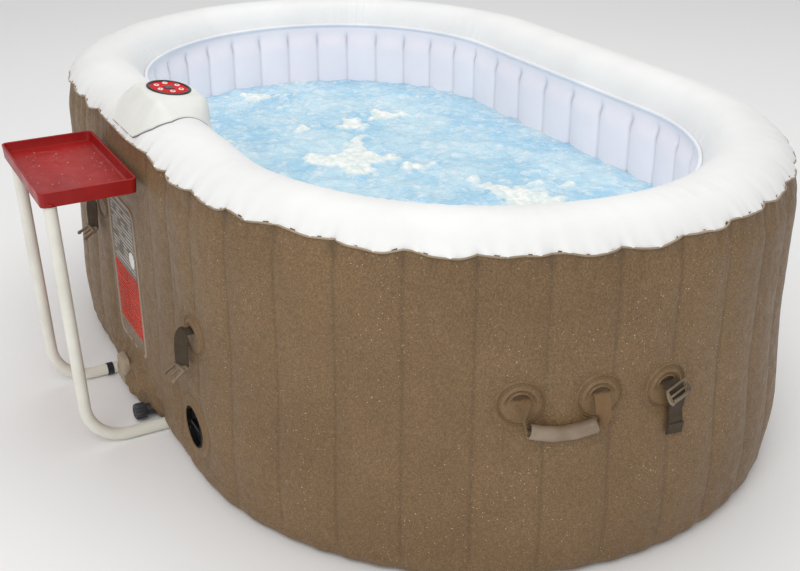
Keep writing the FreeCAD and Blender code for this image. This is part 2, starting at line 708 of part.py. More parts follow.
def build_pump():
    x = "pump_distance_x"
    casing = rod("casing_block", "pump_radius", "50", (x, "-520", "pump_height"), "Y")
    room = rod("casing_room", "pump_radius - 4", "42", (x, "-516", "pump_height"), "Y")
    shaft_hole = rod("casing_shaft_hole", "shaft_radius + shaft_clearance", "20", (x, "-525", "pump_height"),
                     "Y")
    inlet = rod("casing_inlet", "9", "20", (x, "-495", "pump_height + pump_radius - 12"))
    outlet = rod("casing_outlet", "9", "20", (f"{x} + pump_radius - 12", "-495", "pump_height"), "X")
    node(cut("casing", casing, room, shaft_hole, inlet, outlet), "pump_casing")

    motor = rod("motor_block", "motor_radius", "69", (x, "-589", "pump_height"), "Y")
    bore = rod("motor_bore", "shaft_radius + shaft_clearance", "30", (x, "-545", "pump_height"), "Y")
    node(cut("motor", motor, bore), "pump_motor")

    shaft = rod("impeller_shaft", "shaft_radius", "59", (x, "-543", "pump_height"), "Y")
    disc = rod("impeller_disc", "pump_radius - 8", "4", (x, "-505", "pump_height"), "Y")
    blades = []
    for index in range(6):
        blade = box(f"impeller_blade_{index + 1}", ("0", "0", "0"), ("pump_radius - 9", "14", "2.5"))
        carrier = group(f"impeller_blade_{index + 1}_placed", blade)
        carrier.Placement = FreeCAD.Placement(FreeCAD.Vector(), FreeCAD.Rotation(FreeCAD.Vector(0, 1, 0),
                                                                                 60.0 * index))
        bind_base(carrier, (x, "-502", "pump_height"))
        blades.append(carrier)
    node(fuse("impeller", shaft, disc, *blades), "pump_impeller")


def build_heater():
    """The heater and the hoses that join it, the filter, the pump and the blower."""
    block = rod("heater_block", "heater_radius", "180", ("heater_x", "heater_y", "90"))
    room = rod("heater_room", "heater_radius - 3", "174", ("heater_x", "heater_y", "93"))
    node(cut("heater", block, room), "heater_tube")

    suction = tube("suction_hose", "11", "8.5", "94", ("pump_distance_x", "-495",
                                                       "pump_height + pump_radius - 3"))
    pressure = tube("pressure_hose", "11", "8.5", "26",
                    ("pump_distance_x + pump_radius - 3", "-512", "pump_height"), "X")
    outflow = tube("return_hose", "11", "8.5", "52", ("heater_x", "-508", "nozzle_height"), "Y")
    air_run = bent_tube("air_hose", "blower_x - 50", "blower_bottom", "0", "-(blower_y)",
                        f"{TUB_RADIUS} - wall_depth + 0.2", "channel_bottom + channel_size / 2", "9", "7", "30")
    node(group("hoses", suction, pressure, outflow, air_run), "unit_hoses")

    body = tube("nozzle_body", "nozzle_radius", "nozzle_radius - 4", "27.7",
                ("heater_x", "-456", "nozzle_height"), "Y")
    lip = tube("nozzle_lip", "nozzle_radius + 8", "nozzle_radius - 4", "4.7",
               ("heater_x", "-433", "nozzle_height"), "Y")
    node(fuse("nozzle", body, lip), "return_nozzle")


FAN_BLADES = 8


def build_blower():
    middle = ("blower_x", "blower_y")
    block = rod("blower_block", "blower_radius", "60", (*middle, "blower_bottom"))
    room = rod("blower_room", "blower_radius - 4", "52", (*middle, "blower_bottom + 4"))
    outlet = rod("blower_outlet", "7", "20", ("blower_x - 50", "blower_y", "blower_bottom - 10"))
    spindle = rod("blower_spindle", "shaft_radius - shaft_clearance", "54", (*middle, "blower_bottom + 3"))
    node(fuse("blower", cut("blower_shell", block, room, outlet), spindle), "blower_casing")

    hub = rod("fan_hub", "12", "30", (*middle, "blower_bottom + 15"))
    disc = rod("fan_disc", "blower_radius - 8", "3", (*middle, "blower_bottom + 15"))
    blades = []
    for index in range(FAN_BLADES):
        blade = box(f"fan_blade_{index + 1}", ("10", "-1", "0"), ("blower_radius - 20", "2", "27"))
        carrier = group(f"fan_blade_{index + 1}_placed", blade)
        carrier.Placement = FreeCAD.Placement(
            FreeCAD.Vector(), FreeCAD.Rotation(FreeCAD.Vector(0, 0, 1), 360.0 * index / FAN_BLADES))
        bind_base(carrier, (*middle, "blower_bottom + 17"))
        blades.append(carrier)
    bore = rod("fan_bore", "shaft_radius", "60", (*middle, "blower_bottom"))
    node(cut("fan", fuse("fan_solid", hub, disc, *blades), bore), "blower_fan")


# -------------------------------------------------------- outer wall fittings

def wall_place(along, turn, height, standoff=0.0, tilt=0.0):
    """A place on the outer wall: local +X points out of the wall, +Z up; tilt leans the foot outwards."""
    spin = FreeCAD.Rotation(FreeCAD.Vector(0, 0, 1), turn)
    lean = FreeCAD.Rotation(FreeCAD.Vector(0, 1, 0), -tilt)
    out = spin.multVec(FreeCAD.Vector(size("tub_width") / 2 + standoff, 0, 0))
    return FreeCAD.Placement(FreeCAD.Vector(along + out.x, out.y, height), spin * lean)


HALF = (size("tub_length") - size("tub_width")) / 2
STRAP_PLACES = (
    (HALF, -0.1, 347.0, "ladder"),
    (HALF, -85.3, 330.0, "prong"),
    (-195.0, -90.0, 395.0, "prong"),
    (-HALF, 179.9, 347.0, "ladder"),
    (-HALF, 94.7, 330.0, "prong"),
    (195.0, 90.0, 395.0, "prong"),
)
HANDLES = (("front", HALF, -17.9), ("rear", -HALF, 162.1))
HANDLE_HEIGHT = 355.0
HANDLE_TILT_DEGREES = 7.0


def patch(name, place, curved):
    """A round welded patch that lies on the wall, cut from a shell where the wall is curved."""
    disc = rod(name + "_disc", "patch_radius", "patch_thickness", ("0.1", "0", "0"), "X")
    if not curved:
        return placed(name, disc, place)
    disc = rod(name + "_plug", "patch_radius", "20", ("-10", "0", "0"), "X")
    outer = rod(name + "_shell", f"{TUB_RADIUS} + 0.1 + patch_thickness", "200",
                (f"-{TUB_RADIUS}", "0", "-100"))
    inner = rod(name + "_core", f"{TUB_RADIUS} + 0.1", "200", (f"-{TUB_RADIUS}", "0", "-100"))
    shell = cut(name + "_skin", outer, inner)
    item = document.addObject("Part::MultiCommon", name + "_common")
    item.Shapes = [shell, disc]
    return placed(name, item, place)


def placed(name, item, place):
    carrier = group(name, item)
    carrier.Placement = place
    return carrier


def build_patches():
    patches = []
    for index, (along, turn, height, kind) in enumerate(STRAP_PLACES):
        patches.append(patch(f"strap_patch_{index + 1}", wall_place(along, turn, height), abs(along) == HALF))
    step = math.degrees(size("handle_spacing") / 2 / (size("tub_width") / 2))
    for side, along, turn in HANDLES:
        for index, offset in enumerate((-step, step)):
            place = wall_place(along, turn + offset, HANDLE_HEIGHT)
            patches.append(patch(f"handle_patch_{side}_{index + 1}", place, True))
    node(group("patches", *patches), "weld_patches")


def prong_buckle(name):
    """The half of a side-release buckle that has two prongs, leaning away from the wall."""
    half = "strap_width / 2"
    shoulder = "-8"
    tip = "-prong_length"
    outline = [
        (f"-{half} - 2", "0"), (f"-{half} - 2", shoulder), (f"-{half}", tip), (f"-{half} + 6", tip),
        (f"-{half} + 5", shoulder), ("-3", shoulder), ("-3", f"{tip} + 7"), ("3", f"{tip} + 7"),
        ("3", shoulder),
        (f"{half} - 5", shoulder), (f"{half} - 6", tip), (half, tip), (f"{half} + 2", shoulder),
        (f"{half} + 2", "0"),
    ]
    lean = FreeCAD.Rotation(FreeCAD.Vector(0, 1, 0), -size("prong_lean"))
    start = FreeCAD.Vector(0, 0, -size("prong_drop"))
    return placed(name, polygon(name + "_plate", outline, "prong_thickness"), FreeCAD.Placement(start, lean))


def ladder_buckle(name):
    """The half of a side-release buckle that is a frame, in front of the webbing."""
    front = "strap_thickness / 2 + 0.1"
    frame = box(name + "_frame", (front, "ladder_side - ladder_width / 2",
                                  "-ladder_drop - ladder_height / 2"),
                ("ladder_bar", "ladder_width", "ladder_height"))
    windows = []
    for index, rise in enumerate(("ladder_bar / 2", "-ladder_height / 2 + ladder_bar")):
        corner = ("-1", "ladder_side - ladder_width / 2 + ladder_bar", f"-ladder_drop + {rise}")
        windows.append(box(f"{name}_window_{index + 1}", corner,
                           ("20", "ladder_width - 2 * ladder_bar", "(ladder_height - 3 * ladder_bar) / 2")))
    return cut(name, frame, *windows)


def build_straps():
    """Six lid straps, each a hanging web with one half of a side-release buckle."""
    for index, (along, turn, height, kind) in enumerate(STRAP_PLACES):
        number = index + 1
        place = wall_place(along, turn, height, size("pivot_standoff"))
        length = "long_strap_length" if kind == "ladder" else "short_strap_length"
        web = box(f"strap_{number}_web", ("-strap_thickness / 2", "-strap_width / 2", f"-{length}"),
                  ("strap_thickness", "strap_width", f"{length} + 2"))
        node(group(f"strap_{number}_web_placed", web), f"strap_web_{number}", place)
        make = ladder_buckle if kind == "ladder" else prong_buckle
        node(group(f"strap_{number}_buckle_placed", make(f"strap_{number}_buckle")), f"strap_buckle_{number}",
             place)


def build_handles():
    """Carry handles: a web between two patches that runs through a rubber grip."""
    side = "handle_spacing / 2"
    half = "webbing_width / 2"
    grip = "grip_length / 2"
    low = "-handle_drop - 6"
    high = "-handle_drop + 6"
    outline = [
        (f"-{side} - {half}", "2"), (f"-{side} - {half}", f"{high} + 12"), (f"-{grip} - 8", low),
        (f"{grip} + 8", low), (f"{side} + {half}", f"{high} + 12"), (f"{side} + {half}", "2"),
        (f"{side} - {half}", "2"), (f"{side} - {half}", f"{high} + 16"),
        (f"{grip} + 1", f"{high} + 8"), (f"{grip} + 1", high),
        (f"-{grip} - 1", high), (f"-{grip} - 1", f"{high} + 8"),
        (f"-{side} + {half}", f"{high} + 16"), (f"-{side} + {half}", "2"),
    ]
    for name, along, turn in HANDLES:
        place = wall_place(along, turn, HANDLE_HEIGHT, size("pivot_standoff"), HANDLE_TILT_DEGREES)
        node(polygon(f"handle_{name}_body", outline, "webbing_thickness"), f"handle_web_{name}", place)
        rubber = tube(f"handle_{name}_rubber", "grip_radius", "grip_bore", "grip_length",
                      ("0", f"-{grip}", "-handle_drop"), "Y")
        node(group(f"handle_{name}_grip", rubber), f"handle_grip_{name}", place)


def build_ports():
    """The inflation port, the drain and the power cord's gland, all through the control-side wall."""
    middle = ("port_x", f"-{TUB_RADIUS} - 3", "port_height")
    cup = rod("port_cup", "port_radius", "31", middle, "Y")
    lip = rod("port_lip", "port_radius + 4", "2.5", middle, "Y")
    room = rod("port_room", "port_radius - 3", "27", middle, "Y")
    node(cut("port", fuse("port_solid", cup, lip), room), "inflation_port")
    disc = rod("port_cap_disc", "port_radius - 3.4", "12", ("port_x", f"-{TUB_RADIUS} + 6", "port_height"),
               "Y")
    tab = box("port_cap_tab", ("port_x - 24", f"-{TUB_RADIUS} - 1", "port_height - 4"), ("48", "8", "8"))
    node(fuse("port_cap_solid", disc, tab), "port_cap")

    start = ("drain_x", f"-{TUB_RADIUS} - drain_reach", "drain_height")
    neck = tube("drain_neck", "drain_neck_radius", "drain_neck_radius - 4", "drain_reach - 0.3", start, "Y")
    spigot = tube("drain_spigot", "drain_neck_radius - 3.3", "drain_neck_radius - 5", "60",
                  ("drain_x", f"-{TUB_RADIUS} - 2", "drain_height"), "Y")
    node(fuse("drain", neck, spigot), "drain_body")
    start = ("drain_x", f"-{TUB_RADIUS} - drain_reach - 7", "drain_height")
    shell = rod("drain_cap_shell", "drain_cap_radius", "drain_cap_length", start, "Y")
    room = rod("drain_cap_room", "drain_neck_radius + 0.3", "40",
               ("drain_x", f"-{TUB_RADIUS} - drain_reach - 3", "drain_height"), "Y")
    node(cut("drain_cap_cut", shell, room), "drain_cap")

    start = ("gland_x", f"-{TUB_RADIUS} - 6", "gland_height")
    plate = rod("gland_plate", "gland_radius", "5.7", start, "Y")
    spigot = rod("gland_spigot", "7.7", "14", start, "Y")
    bore = rod("gland_bore", "4", "30", start, "Y")
    node(cut("gland", fuse("gland_solid", plate, spigot), bore), "cord_gland")

    node(box("label", ("label_left", f"-{TUB_RADIUS} - 0.1 - label_thickness", "label_bottom"),
             ("label_width", "label_thickness", "label_height")), "label_pocket")


# ------------------------------------------------------------ tray and stand

def build_tray():
    block = box("tray_block", ("tray_left", "-tray_outer", "tray_bottom"),
                ("tray_length", "tray_depth", "tray_height"))
    top_room = box("tray_top_room", ("tray_left + tray_wall", "-tray_outer + tray_wall", "tray_floor + 3"),
                   ("tray_length - 2 * tray_wall", "tray_depth - 2 * tray_wall", "40"))
    under_room = box("tray_under_room",
                     ("tray_left + tray_wall", "-tray_outer + tray_wall", "tray_bottom - 1"),
                     ("tray_length - 2 * tray_wall", "tray_depth - 2 * tray_wall",
                      "tray_floor - tray_bottom + 1"))
    sockets = []
    for side in ("near", "far"):
        sockets.append(tube(f"tray_socket_{side}", "leg_radius + 3.3", "leg_radius + 0.5",
                            "tray_floor - tray_bottom",
                            (f"leg_{side}_x", "-leg_distance - leg_lean", "tray_bottom")))
    node(fuse("tray", cut("tray_shell", block, top_room, under_room), *sockets), "tray")
    for side in ("near", "far"):
        node(bent_tube(f"leg_{side}", f"leg_{side}_x", "tray_floor - 0.3", "leg_lean", "leg_distance",
                       "leg_end", "leg_height", "leg_radius", "leg_bore", "leg_bend"), f"stand_leg_{side}")
    collar = tube("leg_collar", "leg_height", "leg_radius", "14", ("leg_far_x", "-668", "leg_height"), "Y")
    fittings = [collar]
    for side in ("near", "far"):
        fittings.append(rod(f"leg_plug_{side}", "leg_height", "5.5",
                            (f"leg_{side}_x", "-leg_end + 0.5", "leg_height"), "Y"))
    node(group("fittings", *fittings), "leg_fittings")


def check_and_write():
    """Stops on any failed object or bad shape, then writes one file for each sub-part."""
    document.recompute()
    for item in document.Objects:
        if any(word in item.State for word in ("Invalid", "Error")):
            raise RuntimeError(f"{item.Name} did not build: {item.State}")
    os.makedirs("parts", exist_ok=True)
    for item in nodes:
        shape = item.Shape
        if shape.isNull() or not shape.isValid() or not shape.Solids:
            raise RuntimeError(f"{item.Label} has no valid solid")
        shape.exportStep(f"parts/{item.Label}.step")
        box_of = shape.BoundBox
        print(f"{item.Label:20s} {len(shape.Solids):3d} solids {shape.Volume / 1000:10.1f} cm3  "
              f"x {box_of.XMin:7.1f} {box_of.XMax:7.1f}  y {box_of.YMin:7.1f} {box_of.YMax:7.1f}  "
              f"z {box_of.ZMin:6.1f} {box_of.ZMax:6.1f}")
    print(len(nodes), "nodes")


build_skins()
build_ribs()
build_bubble_channel()
build_covers()
build_panel()
build_filter()
build_pump()
build_heater()
build_blower()
build_patches()
build_straps()
build_handles()
build_ports()
build_tray()
check_and_write()
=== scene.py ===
"""The looks of the inflatable hot tub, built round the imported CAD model. Metres, same frame as the CAD."""

import json
import math
import random

import bmesh
import bpy
import numpy as np
from mathutils import Matrix, Vector, noise


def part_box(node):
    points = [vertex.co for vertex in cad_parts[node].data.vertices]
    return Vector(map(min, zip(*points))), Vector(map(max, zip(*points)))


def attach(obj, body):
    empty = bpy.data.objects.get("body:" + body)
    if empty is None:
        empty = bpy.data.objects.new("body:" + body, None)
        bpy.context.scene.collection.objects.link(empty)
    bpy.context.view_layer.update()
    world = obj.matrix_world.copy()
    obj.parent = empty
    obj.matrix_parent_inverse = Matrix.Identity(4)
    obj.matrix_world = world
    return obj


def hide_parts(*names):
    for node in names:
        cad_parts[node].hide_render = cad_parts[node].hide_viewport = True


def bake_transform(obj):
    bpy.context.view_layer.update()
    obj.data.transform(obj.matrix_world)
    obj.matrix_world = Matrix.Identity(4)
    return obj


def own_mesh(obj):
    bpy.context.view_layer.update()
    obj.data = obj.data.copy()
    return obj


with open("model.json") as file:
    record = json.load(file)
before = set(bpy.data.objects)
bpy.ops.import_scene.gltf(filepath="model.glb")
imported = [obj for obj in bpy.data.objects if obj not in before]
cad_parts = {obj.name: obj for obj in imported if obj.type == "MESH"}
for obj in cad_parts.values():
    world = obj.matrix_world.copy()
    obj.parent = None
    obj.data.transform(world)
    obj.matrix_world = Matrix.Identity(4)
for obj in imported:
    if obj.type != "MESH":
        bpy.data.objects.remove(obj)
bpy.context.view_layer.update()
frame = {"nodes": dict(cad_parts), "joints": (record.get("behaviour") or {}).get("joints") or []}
nodes = frame["nodes"]
joints = {joint["name"]: joint for joint in frame["joints"]}

wall_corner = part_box("outer_wall")[1]
TUB = wall_corner.y  # radius of the outer wall's round ends
HALF = wall_corner.x - wall_corner.y  # half the length of its straight sides
END = math.pi * TUB  # distance round one end
ROUND = 4 * HALF + 2 * END  # distance all the way round
RIM_ACROSS, RIM_HEIGHT, RIM = TUB - 0.0825, 0.5587, 0.0956  # middle and radius of the rim's arc
RIM_STOP = math.radians(165.4)  # where the rim meets the liner
INSIDE = TUB - 0.175  # radius of the inner wall
WATER = 0.43
LEG_X = (0.145, -0.138)
SOCKET = 0.797  # distance of the tray's sockets from the tub's middle line
SKIN_STEP = 0.0056  # spacing of the points round the outer skins
FOOT_OUT, FOOT_UP, FOOT = 0.592, 0.031, 0.028  # middle and radius of the wall's turned-under foot
FAR = 9.0  # a distance at which every bell is zero
PANEL = (Matrix.Translation((-0.025, -0.501, 0.674)) @ Matrix.Rotation(math.radians(5.0), 4, "Y")
         @ Matrix.Rotation(math.radians(-8.0), 4, "X"))


# ------------------------------------------------------------------ camera, light and floor

def make_camera():
    """The camera that the picture is taken with."""
    data = bpy.data.cameras.new("camera")
    data.lens, data.sensor_width = 52.23, 36.0
    camera = bpy.data.objects.new("camera", data)
    bpy.context.scene.collection.objects.link(camera)
    camera.location = (2.2025, -1.1766, 1.3183)
    ahead = Vector((0.3748, -0.1881, 0.33)) - camera.location
    camera.rotation_euler = ahead.to_track_quat("-Z", "Y").to_euler()
    bpy.context.scene.camera = camera


def area_light(name, place, aim, side, power, colour=(1.0, 1.0, 1.0)):
    data = bpy.data.lights.new(name, "AREA")
    data.shape, data.size, data.energy, data.color = "DISK", side, power, colour
    light = bpy.data.objects.new(name, data)
    bpy.context.scene.collection.objects.link(light)
    light.location = place
    light.rotation_euler = (Vector(aim) - Vector(place)).to_track_quat("-Z", "Y").to_euler()


def make_studio():
    """A white world and two large soft lights."""
    world = bpy.data.worlds.new("studio")
    world.use_nodes = True
    world.node_tree.nodes["Background"].inputs["Color"].default_value = (1.0, 1.0, 1.0, 1.0)
    world.node_tree.nodes["Background"].inputs["Strength"].default_value = 0.58
    bpy.context.scene.world = world
    bpy.context.scene.view_settings.view_transform = "Standard"
    area_light("key", (3.0, -2.6, 3.6), (0.2, 0.0, 0.3), 3.0, 78.0)
    area_light("top", (-0.6, 0.6, 4.2), (0.0, 0.0, 0.4), 3.5, 50.0)


# ------------------------------------------------------------------ materials

def tone(red, green, blue):
    """A screen colour, 0 to 255, as linear light."""
    def linear(value):
        value /= 255.0
        return value / 12.92 if value <= 0.04045 else ((value + 0.055) / 1.055) ** 2.4
    return (linear(red), linear(green), linear(blue), 1.0)


class Finish:
    """One material's node tree, with short calls for its nodes."""

    def __init__(self, name, **shader_values):
        self.material = bpy.data.materials.new(name)
        self.material.use_nodes = True
        self.tree = self.material.node_tree
        self.tree.nodes.clear()
        output = self.add("ShaderNodeOutputMaterial")
        self.shader = self.add("ShaderNodeBsdfPrincipled", **shader_values)
        self.tree.links.new(self.shader.outputs["BSDF"], output.inputs["Surface"])
        self.coordinates = self.add("ShaderNodeTexCoord").outputs["Object"]

    def add(self, kind, **values):
        made = self.tree.nodes.new(kind)
        for key, value in values.items():
            label = key.replace("_", " ")
            if label in made.inputs:
                self.put(value, made.inputs[label])
            else:
                setattr(made, key, value)
        return made

    def put(self, value, socket):
        """Joins a node's output to the socket, or sets a plain value on it."""
        if isinstance(value, bpy.types.NodeSocket):
            self.tree.links.new(value, socket)
        else:
            socket.default_value = value

    def stretched(self, along):
        """The object's own coordinates, scaled by along."""
        node = self.add("ShaderNodeVectorMath", operation="MULTIPLY")
        self.put(self.coordinates, node.inputs[0])
        self.put(along, node.inputs[1])
        return node.outputs[0]

    def noise(self, scale, detail=2.0, roughness=0.5, where=None):
        node = self.add("ShaderNodeTexNoise", Scale=scale, Detail=detail, Roughness=roughness,
                        Vector=where or self.coordinates)
        return node.outputs["Fac"]

    def cells(self, scale, where=None, output="Distance"):
        return self.add("ShaderNodeTexVoronoi", Scale=scale, Vector=where or self.coordinates).outputs[output]

    def edges(self, scale, where=None):
        return self.add("ShaderNodeTexVoronoi", feature="DISTANCE_TO_EDGE", Scale=scale,
                        Vector=where or self.coordinates).outputs["Distance"]

    def waves(self, scale, axis="X", where=None, distortion=0.0):
        return self.add("ShaderNodeTexWave", bands_direction=axis, Scale=scale, Distortion=distortion,
                        Vector=where or self.coordinates).outputs["Fac"]

    def attribute(self, name):
        return self.add("ShaderNodeAttribute", attribute_name=name).outputs["Fac"]

    def ramp(self, value, low, high, start=0.0, end=1.0):
        """start where value is low, end where it is high, and smooth between."""
        node = self.add("ShaderNodeMapRange", interpolation_type="SMOOTHSTEP", Value=value)
        for label, number in (("From Min", low), ("From Max", high), ("To Min", start), ("To Max", end)):
            node.inputs[label].default_value = number
        return node.outputs["Result"]

    def math(self, operation, first, second=0.0):
        node = self.add("ShaderNodeMath", operation=operation)
        self.put(first, node.inputs[0])
        self.put(second, node.inputs[1])
        return node.outputs[0]

    def times(self, first, second):
        return self.math("MULTIPLY", first, second)

    def mix(self, factor, first, second):
        node = self.add("ShaderNodeMix", data_type="RGBA")
        self.put(factor, node.inputs[0])
        self.put(first, node.inputs[6])
        self.put(second, node.inputs[7])
        return node.outputs[2]

    def bump(self, height, strength, distance, under=None):
        node = self.add("ShaderNodeBump", Height=height, Strength=strength, Distance=distance)
        if under is not None:
            self.put(under, node.inputs["Normal"])
        return node.outputs["Normal"]

    def finish(self, colour=None, roughness=None, normal=None):
        for label, value in (("Base Color", colour), ("Roughness", roughness), ("Normal", normal)):
            if value is not None:
                self.put(value, self.shader.inputs[label])
        return self.material


def leatherette(name, dark, light, drops=1.0, grain=1.0):
    """Embossed brown vinyl with a fine grain, darker weld lines, painted shade in creases, grooves, slots and
    under the rim, and small beads of water whose pale colour is a painted glint.
    """
    f = Finish(name, IOR=1.45)
    drift = f.ramp(f.noise(5.0, 4.0, 0.6), 0.3, 0.7)
    colour = f.mix(drift, dark, light)
    speckle = f.ramp(f.noise(520.0, 2.0, 0.7), 0.32, 0.68)
    colour = f.mix(f.times(speckle, 0.40 * grain), colour, tone(162, 138, 104))
    pits = f.ramp(f.noise(330.0, 3.0, 0.75), 0.62, 0.40)
    colour = f.mix(f.times(pits, 0.50 * grain), colour, tone(66, 48, 30))
    # darker weld lines, and painted shade in creases, puckers, grooves, slots and under the rim, all read
    # from one attribute
    colour = f.mix(f.times(f.attribute("weld_and_shade"), 0.5), colour, tone(70, 54, 38))
    scuff = f.ramp(f.noise(26.0, 5.0, 0.7), 0.60, 0.78)
    colour = f.mix(f.times(scuff, 0.22), colour, tone(172, 152, 122))
    patchy = f.ramp(f.noise(7.0, 2.0, 0.5), 0.36, 0.66)
    beads_and_glints = None
    for scale, reach, share in ((150.0, 0.17, 0.56), (80.0, 0.12, 0.70)):
        dot = f.ramp(f.cells(scale), reach, reach * 0.45)
        chosen = f.ramp(f.cells(scale, output="Color"), share, share + 0.02)
        dot = f.times(f.times(dot, chosen), patchy)
        beads_and_glints = dot if beads_and_glints is None else f.math("MAXIMUM", beads_and_glints, dot)
    beads_and_glints = f.times(beads_and_glints, drops)
    # the beads' pale colour is a painted glint on real drops of water
    colour = f.mix(f.times(beads_and_glints, 0.85), colour, tone(226, 214, 190))
    roughness = f.ramp(f.noise(60.0, 3.0), 0.3, 0.7, 0.46, 0.62)
    roughness = f.math("SUBTRACT", roughness, f.times(beads_and_glints, 0.35))
    skin = f.bump(f.edges(420.0), 0.30, 0.0005)
    skin = f.bump(f.noise(90.0, 4.0, 0.65), 0.26, 0.0014, skin)
    skin = f.bump(f.noise(13.0, 5.0, 0.55, f.stretched((1.0, 1.0, 1.8))), 0.35, 0.006, skin)
    skin = f.bump(beads_and_glints, 0.6, 0.001, skin)
    return f.finish(colour, roughness, skin)


def vinyl(name, shade, tint, roughness=(0.32, 0.44), crease=0.25):
    """Smooth satin vinyl, slightly uneven in colour and gloss."""
    f = Finish(name, IOR=1.46)
    colour = f.mix(f.ramp(f.noise(4.0, 4.0, 0.55), 0.35, 0.65), shade, tint)
    # bluish grey along weld lines, and painted shade in the puckers and dimples at their ends on the rim and
    # liner
    colour = f.mix(f.times(f.attribute("weld_and_shade"), 0.55), colour, tone(150, 150, 172))
    gloss = f.ramp(f.noise(30.0, 4.0, 0.6), 0.3, 0.7, *roughness)
    normal = f.bump(f.noise(24.0, 5.0, 0.55), crease, 0.003)
    normal = f.bump(f.noise(700.0, 1.0), 0.08, 0.0003, normal)
    return f.finish(colour, gloss, normal)


def moulded(name, shade, tint, roughness=(0.35, 0.5), grain=500.0, strength=0.12, metallic=0.0, **values):
    """Moulded plastic, rubber, enamel or metal: a fine texture, faint mottling and uneven gloss."""
    f = Finish(name, Metallic=metallic, **values)
    colour = f.mix(f.ramp(f.noise(9.0, 5.0, 0.6), 0.32, 0.68), shade, tint)
    scratches = f.ramp(f.noise(40.0, 6.0, 0.75, f.stretched((1.0, 6.0, 1.0))), 0.64, 0.74)
    colour = f.mix(f.times(scratches, 0.18), colour, tint)
    gloss = f.ramp(f.noise(28.0, 4.0, 0.65), 0.3, 0.7, *roughness)
    return f.finish(colour, gloss, f.bump(f.noise(grain, 2.0, 0.6), strength, 0.0005))


def woven(name, shade, tint, threads=900.0):
    """Flat webbing: crossed threads with worn, paler high spots."""
    f = Finish(name, Sheen_Weight=0.08, Sheen_Roughness=0.5, Specular_IOR_Level=0.3)
    warp = f.waves(threads / 6.28, "DIAGONAL", distortion=1.2)
    weft = f.waves(threads / 9.0, "Z", distortion=0.8)
    cloth = f.times(warp, weft)
    colour = f.mix(f.ramp(cloth, 0.05, 0.75), shade, tint)
    worn = f.ramp(f.noise(70.0, 5.0, 0.7), 0.42, 0.72)
    colour = f.mix(f.times(worn, 0.35), colour, tint)
    return f.finish(colour, f.ramp(f.noise(50.0), 0.3, 0.7, 0.62, 0.85), f.bump(cloth, 0.3, 0.0004))


def foam_water(name):
    """Churning pale blue water whose foam attribute turns it white."""
    f = Finish(name, IOR=1.33)
    depth = f.ramp(f.noise(7.0, 5.0, 0.6), 0.34, 0.66)
    colour = f.mix(depth, tone(164, 212, 238), tone(204, 233, 245))
    streak = f.ramp(f.noise(34.0, 6.0, 0.72), 0.46, 0.66)
    colour = f.mix(f.times(streak, 0.75), colour, tone(232, 244, 248))
    froth = f.ramp(f.cells(120.0), 0.42, 0.10)
    froth = f.times(froth, f.ramp(f.noise(16.0, 4.0, 0.6), 0.48, 0.62))
    colour = f.mix(f.times(froth, 0.6), colour, tone(246, 250, 250))
    foam = f.ramp(f.attribute("foam"), 0.28, 0.72)
    foamy = f.mix(f.ramp(f.noise(70.0, 4.0, 0.6), 0.35, 0.65), tone(222, 236, 232), tone(255, 255, 252))
    colour = f.mix(foam, colour, foamy)
    gloss = f.math("ADD", f.times(foam, 0.45), f.ramp(f.noise(60.0), 0.3, 0.7, 0.10, 0.26))
    normal = f.bump(f.noise(48.0, 6.0, 0.65), 0.7, 0.010)
    normal = f.bump(froth, 0.3, 0.002, normal)
    return f.finish(colour, gloss, normal)


def printed(name, paper, ink, rows, share, tall):
    """A blank card: short bars of ink in rows, with no lettering."""
    f = Finish(name, Specular_IOR_Level=0.0)
    parts = f.add("ShaderNodeSeparateXYZ", Vector=f.coordinates)
    line = f.math("FRACT", f.times(parts.outputs["Z"], rows))
    inked = f.ramp(line, share, share + 0.08)
    blocks = f.add("ShaderNodeTexWhiteNoise", noise_dimensions="2D")
    stepped = f.add("ShaderNodeCombineXYZ",
                    X=f.math("FLOOR", f.times(parts.outputs["X"], tall)),
                    Y=f.math("FLOOR", f.times(parts.outputs["Z"], rows)))
    f.put(stepped.outputs[0], blocks.inputs["Vector"])
    inked = f.times(inked, f.ramp(blocks.outputs["Value"], 0.22, 0.26))
    inked = f.times(inked, f.attribute("print"))
    colour = f.mix(f.ramp(f.noise(14.0, 4.0, 0.6), 0.3, 0.7), paper,
                   tuple(0.82 * c for c in paper[:3]) + (1.0,))
    colour = f.mix(f.times(inked, 0.8), colour, ink)
    return f.finish(colour, f.ramp(f.noise(40.0), 0.3, 0.7, 0.3, 0.5), f.bump(f.noise(30.0, 3.0), 0.2, 0.001))


def clear_film(name):
    """Thin clear vinyl, nearly invisible."""
    f = Finish(name, Alpha=0.05, IOR=1.2)
    colour = f.mix(f.ramp(f.noise(20.0, 4.0), 0.35, 0.65), tone(214, 208, 196), tone(244, 240, 232))
    return f.finish(colour, f.ramp(f.noise(18.0, 4.0), 0.3, 0.7, 0.08, 0.24),
                    f.bump(f.noise(40.0, 4.0), 0.5, 0.002))


def paper_floor(name):
    """The pale studio floor."""
    f = Finish(name, Specular_IOR_Level=0.15)
    colour = f.mix(f.noise(0.8, 2.0), tone(247, 247, 247), tone(251, 251, 251))
    return f.finish(colour, f.ramp(f.noise(3.0), 0.3, 0.7, 0.75, 0.85), f.bump(f.noise(300.0), 0.03, 0.0004))


